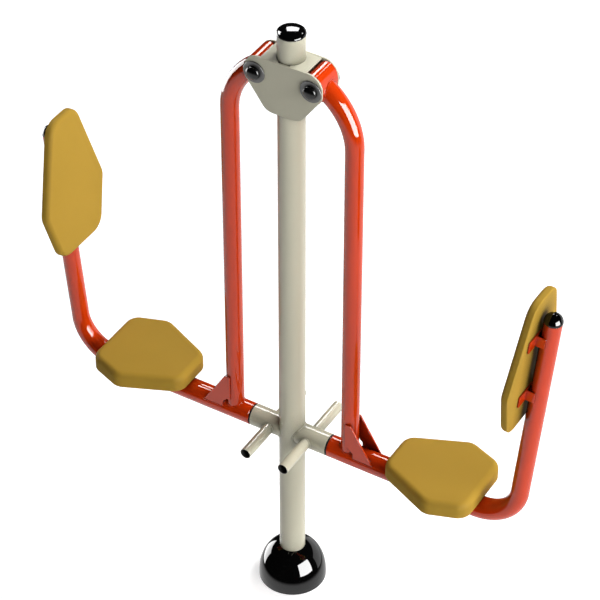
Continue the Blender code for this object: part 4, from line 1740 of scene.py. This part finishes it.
@dataclass
class SwingArm:
    """One swinging seat: hub, bearings, arm, seat beam, gussets, brackets and pads."""

    workshop: Workshop
    side: Side
    hub_width: float = 0.0761
    hub_tallness: float = 0.108
    bearing_radius: float = 0.031
    bearing_width: float = 0.016
    bearing_race: float = 0.0045
    bearing_dish: float = 0.0012
    bearing_edge: float = 0.0005
    arm_radius: float = 0.03015
    arm_wall: float = 0.003
    arm_top_radius: float = 0.035
    arm_offset: float = 0.2235
    arm_bend_radius: float = 0.235
    beam_radius: float = 0.03805
    beam_wall: float = 0.0032
    plug_edge: float = 0.0008
    seat_bend_start: float = 0.703
    seat_bend_radius: float = 0.150
    lean: float = math.radians(5.3)
    cap_radius: float = 0.0310
    cap_rise: float = 0.030
    cap_rim: float = 0.002
    cap_spigot: float = 0.025
    gusset_thickness: float = 0.005
    gusset_rise: float = 0.155
    gusset_top_offset: float = 0.0205
    gusset_toe: float = 0.1065
    gusset_edge: float = 0.010
    gusset_notch: float = 0.018
    gusset_corner: float = 0.004
    gusset_corner_steps: int = 6
    gusset_weld_scale: float = 0.8
    cutter_start: float = 0.150
    cutter_end: float = 0.720
    strap_length: float = 0.160
    strap_height: float = 0.045
    strap_thickness: float = 0.005
    strap_fillet: float = 0.006
    strap_fillet_steps: int = 8
    cheek_thickness: float = 0.004
    cheek_height: float = 0.040
    cheek_overlap: float = 0.00125
    cheek_corner_steps: int = 6
    bracket_spacing: float = 0.231
    bracket_from_top: float = 0.071
    back_drop: float = 0.426
    seat_plate_thickness: float = 0.005
    seat_plate_length: float = 0.220
    seat_plate_width: float = 0.150
    seat_plate_fillet: float = 0.015
    saddle_spacing: float = 0.140
    saddle_thickness: float = 0.006
    saddle_depth: float = 0.032
    saddle_width: float = 0.096
    saddle_steps: int = 40
    seat_inner_end: float = 0.391
    straight_stations: int = 12
    upright_stations: int = 14
    bend_steps: int = 64
    cap_steps: int = 128

    def build(self) -> None:
        """Builds the whole arm."""
        self.hub_centre = box_centre(self._node("hub"))
        self.beam_height = float(box_centre(self._node("beam_plug"))[2])
        self.upright_top = self._upright_top()
        self._hub()
        self._arm()
        self._beam()
        self._plug()
        self._gussets()
        self._seat_plate()
        self._brackets()
        self._cap()
        self._pads()

    def _node(self, word: str) -> str:
        """The name of one of this side's nodes."""
        return f"{self.side.label}_{word}"

    def _at(self, x: float, y: float, z: float) -> np.ndarray:
        """A point given by its distance out from the post."""
        return np.array((self.side.value * x, y, z))

    def _add(self, word: str, shape: Skin | Mesh, finish: Finish,
             stands_for: Sequence[str] = ()) -> bpy.types.Object:
        """Adds a piece to this side's body."""
        nodes = [self._node(name) for name in stands_for]
        return self.workshop.add(self._node(word), shape, finish, nodes, self.side.body)

    def _hub(self) -> None:
        """The upright oval hub with its two ball bearings."""
        half = box_size(self._node("hub"))[1] / 2
        mesh = self.workshop.plates.plate(
            "hub_tube",
            oval(self.hub_width / 2, self.hub_tallness / 2),
            [circle(0.0, 0.0, self.bearing_radius + SPIGOT_CLEARANCE)],
            2 * half,
            placed(self.hub_centre, X_AXIS, -Y_AXIS),
        )
        self._add("hub_tube", mesh, ORANGE_PAINT, ["hub"])
        for end in End:
            outward = Y_AXIS * end.value
            base = self.hub_centre + outward * (half - self.bearing_width)
            skin = Skin().turned(self._bearing_profile(), standing(base, outward), closed=True)
            self._add(f"ball_bearing_{end.label}", skin, ZINC_STEEL, [f"bearing_{end.label}"])

    def _bearing_profile(self) -> list[PlanePoint]:
        """Draws the section of a sealed bearing: two races with a dished seal between them.

        Returns:
            Its points round the section.
        """
        outer = self.bearing_radius
        inner = AXLE_RADIUS + GAP
        width = self.bearing_width
        race = self.bearing_race
        dish = self.bearing_dish
        soft = self.bearing_edge
        return [
            (outer - soft, width),
            (outer, width - soft),
            (outer, soft),
            (outer - soft, 0.0),
            (outer - race, 0.0),
            (outer - race - soft, dish),
            (inner + race + soft, dish),
            (inner + race, 0.0),
            (inner + soft, 0.0),
            (inner, soft),
            (inner, width - soft),
            (inner + soft, width),
            (inner + race, width),
            (inner + race + soft, width - dish),
            (outer - race - soft, width - dish),
            (outer - race, width),
        ]

    def _arm_line(self) -> Line:
        """Works out the arm's middle line.

        Returns:
            The line up from the beam, then bent in and widened to the hub.
        """
        inward = self.arm_offset - abs(self.hub_centre[0])
        bend = math.acos(1 - inward / self.arm_bend_radius)
        start = self.hub_centre[2] - self.arm_bend_radius * math.sin(bend)
        points = [self._at(self.arm_offset, 0, self.beam_height)]
        radii = [self.arm_radius]
        for step in range(self.bend_steps + 1):
            share = step / self.bend_steps
            angle = bend * share
            x = self.arm_offset - self.arm_bend_radius * (1 - math.cos(angle))
            z = start + self.arm_bend_radius * math.sin(angle)
            points.append(self._at(x, 0, z))
            radii.append(self.arm_radius + (self.arm_top_radius - self.arm_radius) * share)
        return Line(np.array(points), Y_AXIS, np.array(radii))

    def _arm(self) -> None:
        """The arm tube, coped to the beam below and to the hub above, with both welds."""
        line = self._arm_line()
        beam_middle = np.array((0, 0, self.beam_height))
        beam = cylinder_test(beam_middle, X_AXIS, self.beam_radius + GAP)
        hub = oval_test(self.hub_centre, self.hub_width / 2 + GAP, self.hub_tallness / 2 + GAP)
        low_stations = np.linspace(0, line.along[1], self.straight_stations)
        stations = [*low_stations, *line.along[1:-1]]
        tube = self.workshop.tubes.tube(line, self.arm_wall, beam, hub, stations)
        self._add("arm", tube, ORANGE_PAINT, ["arm_tube"])
        weld = Skin()
        self.workshop.weld(weld, line, beam, 0.0, line.length / 2)
        self.workshop.weld(weld, line, hub, line.length, line.length / 2)
        self._add("arm_welds", weld, ORANGE_PAINT)

    def _bend_point(self, share: float) -> PlanePoint:
        """Finds a point on the middle line of the seat beam's bend.

        Args:
            share: The share of the bend that is passed there.

        Returns:
            How far out and how high it lies.
        """
        angle = (math.pi / 2 - self.lean) * share
        x = self.seat_bend_start + self.seat_bend_radius * math.sin(angle)
        z = self.beam_height + self.seat_bend_radius * (1 - math.cos(angle))
        return x, z

    def _upright_point(self, height: float) -> np.ndarray:
        """The point of the upright's middle line at a height."""
        x, z = self._bend_point(1.0)
        return self._at(x + (height - z) * math.tan(self.lean), 0, height)

    @property
    def up(self) -> np.ndarray:
        """The direction of the upright."""
        return self._at(math.sin(self.lean), 0, math.cos(self.lean))

    @property
    def forward(self) -> np.ndarray:
        """The direction from the upright towards the post, square to the upright."""
        return self._at(-math.cos(self.lean), 0, math.sin(self.lean))

    def _upright_top(self) -> float:
        """The height at which the upright's middle line ends."""
        _, cap_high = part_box(self._node("upright_cap"))
        return cap_high.z - (self.cap_rise + GAP) * math.cos(self.lean)

    def _beam(self) -> None:
        """The seat beam: out, through the swaged bend, and up the upright."""
        near, _ = reaches(self._node("seat_beam"), 0)
        points = [self._at(near, 0, self.beam_height)]
        radii = [self.beam_radius]
        for step in range(self.bend_steps + 1):
            share = step / self.bend_steps
            x, z = self._bend_point(share)
            points.append(self._at(x, 0, z))
            radii.append(self.beam_radius + (self.arm_radius - self.beam_radius) * share)
        points.append(self._upright_point(self.upright_top))
        radii.append(self.arm_radius)
        line = Line(np.array(points), Y_AXIS, np.array(radii))
        stations = {
            *np.linspace(0, line.along[1], self.straight_stations),
            *line.along[1:-1],
            *np.linspace(line.along[-2], line.length, self.upright_stations),
        }
        tube = self.workshop.tubes.tube(line, self.beam_wall, stations=sorted(stations))
        self._add("beam", tube, ORANGE_PAINT, ["seat_beam"])

    def _plug(self) -> None:
        """The disc that closes the beam's inner end and meets the buffer."""
        face, far = reaches(self._node("beam_plug"), 0)
        near, _ = reaches(self._node("seat_beam"), 0)
        back = near - GAP
        thickness = back - face
        spigot = self.beam_radius - self.beam_wall - SPIGOT_CLEARANCE
        edge = self.plug_edge
        profile = [
            (0.0, thickness),
            (self.beam_radius - edge, thickness),
            (self.beam_radius, thickness - edge),
            (self.beam_radius, edge / 2),
            (self.beam_radius - edge / 2, 0.0),
            (spigot, 0.0),
            (spigot, back - far),
            (0.0, back - far),
        ]
        place = standing(self._at(back, 0, self.beam_height), -X_AXIS * self.side.value)
        self._add("end_plug", Skin().turned(profile, place), ORANGE_PAINT, ["beam_plug"])

    def _beam_cutter(self) -> Mesh:
        """Makes a cylinder that cuts plates to fit round the beam.

        Returns:
            Its mesh.
        """
        ends = [self._at(x, 0, self.beam_height) for x in (self.cutter_start, self.cutter_end)]
        line = Line(np.array(ends), Y_AXIS, self.beam_radius + GAP)
        turn = self.workshop.tubes.turn
        rows = [line.skin(np.full(turn.shape, place), turn) for place in (0.0, line.length)]
        skin = Skin()
        skin.grid(np.array(rows))
        for row, end in zip(rows, line.points):
            skin.fan(row, end)
        return skin.mesh("beam_cutter")

    def _gussets(self) -> None:
        """Two triangular plates on the arm tube's sides, fitted to the beam below."""
        inner = self.arm_offset
        toe = inner + self.gusset_toe
        notch_end = inner + self.arm_radius
        notch_top = self.beam_radius + self.gusset_notch
        corners = [
            (inner, self.gusset_rise, 0.0),
            (inner, notch_top, 0.0),
            (notch_end - self.gusset_notch, notch_top, 0.0),
            (notch_end, self.beam_radius, 0.0),
            (notch_end, 0.0, 0.0),
            (toe, 0.0, 0.0),
            (toe, self.gusset_edge, self.gusset_corner),
            (inner + self.gusset_top_offset, self.gusset_rise, self.gusset_corner),
        ]
        outline = sided(rounded(corners, self.gusset_corner_steps), self.side)
        offset = self.arm_radius + GAP + self.gusset_thickness / 2
        for end in End:
            spot = np.array((0, end.value * offset, self.beam_height))
            blank = self.workshop.plates.plate(
                "gusset", outline, [], self.gusset_thickness, placed(spot, X_AXIS, -Y_AXIS)
            )
            mesh = settled(blank, [self._beam_cutter()])
            self._add(f"gusset_plate_{end.label}", mesh, ORANGE_PAINT, [f"gusset_{end.label}"])
        self._gusset_welds(notch_end, toe)

    def _gusset_welds(self, first: float, last: float) -> None:
        """The seams along the gussets' feet.

        Args:
            first: How far out they start.
            last: How far out they end.
        """
        skin = Skin()
        y = self.arm_radius + GAP + self.gusset_thickness
        z = self.beam_height + math.sqrt(self.beam_radius**2 - y**2)
        for end in End:
            seam = np.array([self._at(x, end.value * y, z) for x in (first, last)])
            self.workshop.welds.bead(skin, seam, closed=False, scale=self.gusset_weld_scale)
        self._add("gusset_welds", skin, ORANGE_PAINT)

    def _seat_plate(self) -> None:
        """The plate under the seat pad, on two saddles that sit over the beam."""
        x = box_centre(self._node("seat_plate"))[0]
        _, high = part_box(self._node("seat_plate"))
        corners = rectangle(
            self.seat_plate_length / 2, self.seat_plate_width / 2, self.seat_plate_fillet
        )
        thickness = self.seat_plate_thickness
        place = Matrix.Translation((x, 0, high.z - thickness / 2))
        make = self.workshop.plates.plate
        meshes = [make("seat_plate", rounded(corners), [], thickness, place)]
        saddle = self._saddle_outline(high.z - thickness - self.beam_height)
        for sign in (-1, 1):
            spot = np.array((x + sign * self.saddle_spacing / 2, 0, self.beam_height))
            place = placed(spot, Y_AXIS, X_AXIS)
            meshes.append(make("saddle", saddle, [], self.saddle_thickness, place))
        self._add("seat_carrier", joined("seat_carrier", meshes), ORANGE_PAINT, ["seat_plate"])

    def _saddle_outline(self, top: float) -> np.ndarray:
        """Draws a saddle, hollowed to sit over the beam.

        Args:
            top: The height of its top over the beam's middle line.

        Returns:
            Points round it, across the beam and up.
        """
        half = self.saddle_width / 2
        seat = self.beam_radius + GAP
        foot = top - self.saddle_depth
        reach = math.sqrt(seat**2 - foot**2)
        first = math.asin(foot / seat)
        arc = np.linspace(first, math.pi - first, self.saddle_steps)
        return np.array([
            (half, foot),
            (half, top),
            (-half, top),
            (-half, foot),
            (-reach, foot),
            *[(seat * math.cos(angle), seat * math.sin(angle)) for angle in arc[::-1][1:-1]],
            (reach, foot),
        ])

    def _brackets(self) -> None:
        """The two strap brackets that hold the back pad on the upright."""
        for level, drop in (("upper", 0.0), ("lower", self.bracket_spacing)):
            name = f"strap_bracket_{level}"
            mesh = joined(name, self._bracket_plates(self.bracket_from_top + drop))
            self._add(name, mesh, ORANGE_PAINT, [f"back_bracket_{level}"])

    def _bracket_plates(self, drop: float) -> list[Mesh]:
        """Makes one bracket's strap and the two cheeks that hold it on the upright.

        Args:
            drop: How far below the upright's top it stands.

        Returns:
            The three plates.
        """
        make = self.workshop.plates.plate
        centre = self._upright_point(self.upright_top) - self.up * drop
        face = self.arm_radius + GAP
        strap = rectangle(self.strap_height / 2, self.strap_length / 2, self.strap_fillet)
        middle = centre + self.forward * (face + self.strap_thickness / 2)
        outline = rounded(strap, self.strap_fillet_steps)
        place = placed(middle, self.up, self.forward)
        plates = [make("strap", outline, [], self.strap_thickness, place)]
        half = self.cheek_height / 2
        depth = face + self.cheek_overlap
        cheek = [
            (-half, 0.0, self.gusset_corner),
            (half, 0.0, self.gusset_corner),
            (half, depth, 0.0),
            (-half, depth, 0.0),
        ]
        outline = rounded(cheek, self.cheek_corner_steps)
        for end in End:
            spot = centre + Y_AXIS * end.value * (face + self.cheek_thickness / 2)
            place = placed(spot, self.up, np.cross(self.up, self.forward))
            plates.append(make("cheek", outline, [], self.cheek_thickness, place))
        return plates

    def _cap(self) -> None:
        """The domed cap in the upright's top."""
        base = self._upright_point(self.upright_top) + self.up * GAP
        dome = Dome(
            radius=self.cap_radius,
            rise=self.cap_rise,
            rim=self.cap_rim,
            spigot_radius=self.arm_radius - self.beam_wall - SPIGOT_CLEARANCE,
            spigot_length=self.cap_spigot,
        )
        skin = Skin().turned(dome.profile(), standing(base, self.up), self.cap_steps)
        self._add("upright_dome", skin, BLACK_PLASTIC, ["upright_cap"])

    def _pads(self) -> None:
        """The seat pad and the back pad."""
        _, plate_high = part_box(self._node("seat_plate"))
        inner_end = self._at(self.seat_inner_end, 0, plate_high.z + GAP)
        place = placed(inner_end, X_AXIS * self.side.value, Z_AXIS)
        self._cushion("seat", SEAT_PAD, place)
        bottom = self._upright_point(self.upright_top - self.back_drop)
        standoff = self.arm_radius + self.strap_thickness + 2 * GAP
        top = bottom + self.up * BACK_PAD.length + self.forward * standoff
        self._cushion("back", BACK_PAD, placed(top, -self.up, self.forward))

    def _cushion(self, word: str, pad: Pad, place: Matrix) -> None:
        """Adds one pad.

        Args:
            word: Which pad it is, seat or back.
            pad: Its sizes.
            place: Where it stands.
        """
        name = f"{word}_cushion"
        piece = self._add(name, pad.mesh(name, place), PAD_MOULDING, [f"{word}_pad"])


@dataclass(frozen=True)
class Softbox:
    """A lamp or a card round the object: where it stands and how large and bright it is.

    A lamp has a power and lights the paint. A card has a glow and shows in glossy surfaces.
    """

    name: str
    azimuth: float
    elevation: float
    width: float
    height: float
    distance: float
    glow: float = 0.0
    power: float = 0.0

    def place(self, target: np.ndarray) -> Matrix:
        """Where it stands, facing a target."""
        way = direction(self.azimuth, self.elevation)
        return placed(target + way * self.distance, np.cross(Z_AXIS, way), way)


@dataclass
class Studio:
    """The camera, the pale floor, the lamps and the panels that glossy surfaces reflect."""

    target: tuple[float, float, float] = (0.0222, 0.0133, 1.2452)
    azimuth: float = 31.03
    elevation: float = 40.09
    distance: float = 8.7369
    focal_length: float = 162.71
    sensor: float = 36.0
    far_clip: float = 200.0
    floor_size: float = 60.0
    floor_drop: float = 0.0005
    floor_cells: int = 4
    card_cells: int = 2
    floor_tone: float = 0.80
    floor_glow: float = 0.70
    fill: float = 0.04
    ground_height: float = -0.50
    sky_height: float = -0.34
    ground_glow: float = 0.95
    sky_glow: float = 0.015
    softboxes: tuple[Softbox, ...] = (
        Softbox("right_lamp", 76, 24, 11.0, 5.0, 12.0, power=1020.0),
        Softbox("rear_lamp", 155, 48, 6.0, 5.0, 12.0, power=1080.0),
        Softbox("right_card", 78, 10, 10.2, 9.4, 12.0, glow=20.0),
        Softbox("left_card", -99, -9, 8.4, 7.2, 12.0, glow=8.0),
        Softbox("left_high_card", -102, 47, 1.1, 0.9, 3.2, glow=16.0),
        Softbox("rear_card", -152, 40, 3.4, 3.0, 12.6, glow=15.0),
        Softbox("rear_right_card", 167, 45, 1.4, 1.0, 12.0, glow=15.0),
        Softbox("back_wall", 158, -6, 16.0, 8.4, 12.0, glow=1.0),
    )

    def build(self) -> None:
        """Sets up the camera, light and floor."""
        bpy.context.scene.view_settings.view_transform = "Standard"
        self._camera()
        self._world()
        self._floor()
        for softbox in self.softboxes:
            if softbox.power:
                self._lamp(softbox)
            if softbox.glow:
                self._panel(softbox)

    def _camera(self) -> None:
        """The camera at the photograph's angle."""
        back = Vector(direction(self.azimuth, self.elevation))
        data = bpy.data.cameras.new("camera")
        data.lens = self.focal_length
        data.sensor_width = self.sensor
        data.sensor_height = self.sensor
        data.clip_end = self.far_clip
        camera = bpy.data.objects.new("camera", data)
        camera.location = Vector(self.target) + back * self.distance
        camera.rotation_euler = back.to_track_quat("Z", "Y").to_euler()
        bpy.context.scene.collection.objects.link(camera)
        bpy.context.scene.camera = camera

    def _world(self) -> None:
        """White to the camera, dim above and pale below to reflections, and a weak fill."""
        world = bpy.data.worlds.new("studio")
        bpy.context.scene.world = world
        world.use_nodes = True
        tree = world.node_tree
        tree.nodes.clear()
        place = tree.nodes.new("ShaderNodeTexCoord").outputs["Generated"]
        split = add_node(tree, "SeparateXYZ", {0: place})
        level = add_node(tree, "MapRange", {
            "Value": split.outputs["Z"],
            "From Min": self.ground_height,
            "From Max": self.sky_height,
            "To Min": self.ground_glow,
            "To Max": self.sky_glow,
        })
        level.interpolation_type = "SMOOTHSTEP"
        fill = self._white(tree, "Background", self.fill)
        mirrored = self._white(tree, "Background", level.outputs["Result"])
        seen = self._white(tree, "Background", 1.0)
        rays = tree.nodes.new("ShaderNodeLightPath").outputs
        unseen = add_node(tree, "MixShader", {"Fac": rays["Is Glossy Ray"], 1: fill, 2: mirrored})
        final = add_node(tree, "MixShader", {
            "Fac": self._sight(tree), 1: unseen.outputs[0], 2: seen,
        })
        add_node(tree, "OutputWorld", {"Surface": final.outputs[0]})

    @staticmethod
    def _sight(tree: Tree) -> Socket:
        """One for the camera's own rays, also through glass, and zero for all others."""
        rays = tree.nodes.new("ShaderNodeLightPath").outputs
        return counted(tree, "MAXIMUM", rays["Is Camera Ray"], rays["Is Transmission Ray"])

    @staticmethod
    def _white(tree: Tree, kind: str, strength: Socket | float) -> Socket:
        """A white background or emission of some strength."""
        return add_node(tree, kind, {"Color": WHITE, "Strength": strength}).outputs[0]

    @staticmethod
    def _sheet(name: str, width: float, height: float, cells: int,
               place: Matrix) -> tuple[bpy.types.Object, Tree]:
        """A flat sheet of the studio with an empty material.

        Args:
            name: The sheet's name.
            width: Its size along its own X.
            height: Its size along its own Y.
            cells: How many cells it has each way.
            place: Where its middle stands.

        Returns:
            The object, and its material's tree.
        """
        across = np.linspace(-width / 2, width / 2, cells + 1)
        up = np.linspace(-height / 2, height / 2, cells + 1)
        x, y = np.meshgrid(across, up)
        skin = Skin()
        skin.grid(np.stack((x, y, np.zeros(x.shape)), -1), wrap=False)
        mesh = skin.mesh(name)
        mesh.transform(place)
        sheet = bpy.data.objects.new(name, mesh)
        bpy.context.scene.collection.objects.link(sheet)
        material = bpy.data.materials.new(name)
        material.use_nodes = True
        material.node_tree.nodes.clear()
        mesh.materials.append(material)
        return sheet, material.node_tree

    def _floor(self) -> None:
        """A pale floor that is white where it is lit and keeps a soft shadow."""
        size = self.floor_size
        place = Matrix.Translation((0, 0, -self.floor_drop))
        floor, tree = self._sheet("floor", size, size, self.floor_cells, place)
        paint = add_node(tree, "BsdfDiffuse", {"Color": (*([self.floor_tone] * 3), 1)})
        strength = counted(tree, "MULTIPLY", self._sight(tree), self.floor_glow)
        glow = self._white(tree, "Emission", strength)
        total = add_node(tree, "AddShader", {0: paint.outputs[0], 1: glow})
        add_node(tree, "OutputMaterial", {"Surface": total.outputs[0]})
        floor.visible_glossy = False

    def _lamp(self, softbox: Softbox) -> None:
        """Adds a lamp, which lights the paint but isn't mirrored.

        Args:
            softbox: Its sizes, place and power.
        """
        data = bpy.data.lights.new(softbox.name, "AREA")
        data.shape = "RECTANGLE"
        data.size = softbox.width
        data.size_y = softbox.height
        data.energy = softbox.power
        lamp = bpy.data.objects.new(data.name, data)
        lamp.matrix_world = softbox.place(np.array(self.target))
        lamp.visible_glossy = False
        lamp.visible_camera = False
        bpy.context.scene.collection.objects.link(lamp)

    def _panel(self, softbox: Softbox) -> None:
        """Adds a bright card that glossy surfaces mirror.

        Args:
            softbox: Its sizes, place and glow.
        """
        place = softbox.place(np.array(self.target))
        panel, tree = self._sheet(
            softbox.name, softbox.width, softbox.height, self.card_cells, place
        )
        add_node(tree, "OutputMaterial", {"Surface": self._white(tree, "Emission", softbox.glow)})
        panel.visible_camera = False
        panel.visible_diffuse = False
        panel.visible_shadow = False
        panel.visible_transmission = False


def main() -> None:
    """Builds the trainer and its studio."""
    logging.basicConfig(level=logging.INFO, format="%(name)s %(message)s")
    workshop = Workshop()
    Post(workshop).build()
    Crossbar(workshop).build()
    Head(workshop).build()
    for side in Side:
        SwingArm(workshop, side).build()
    Studio().build()


if __name__ == "__main__":
    main()
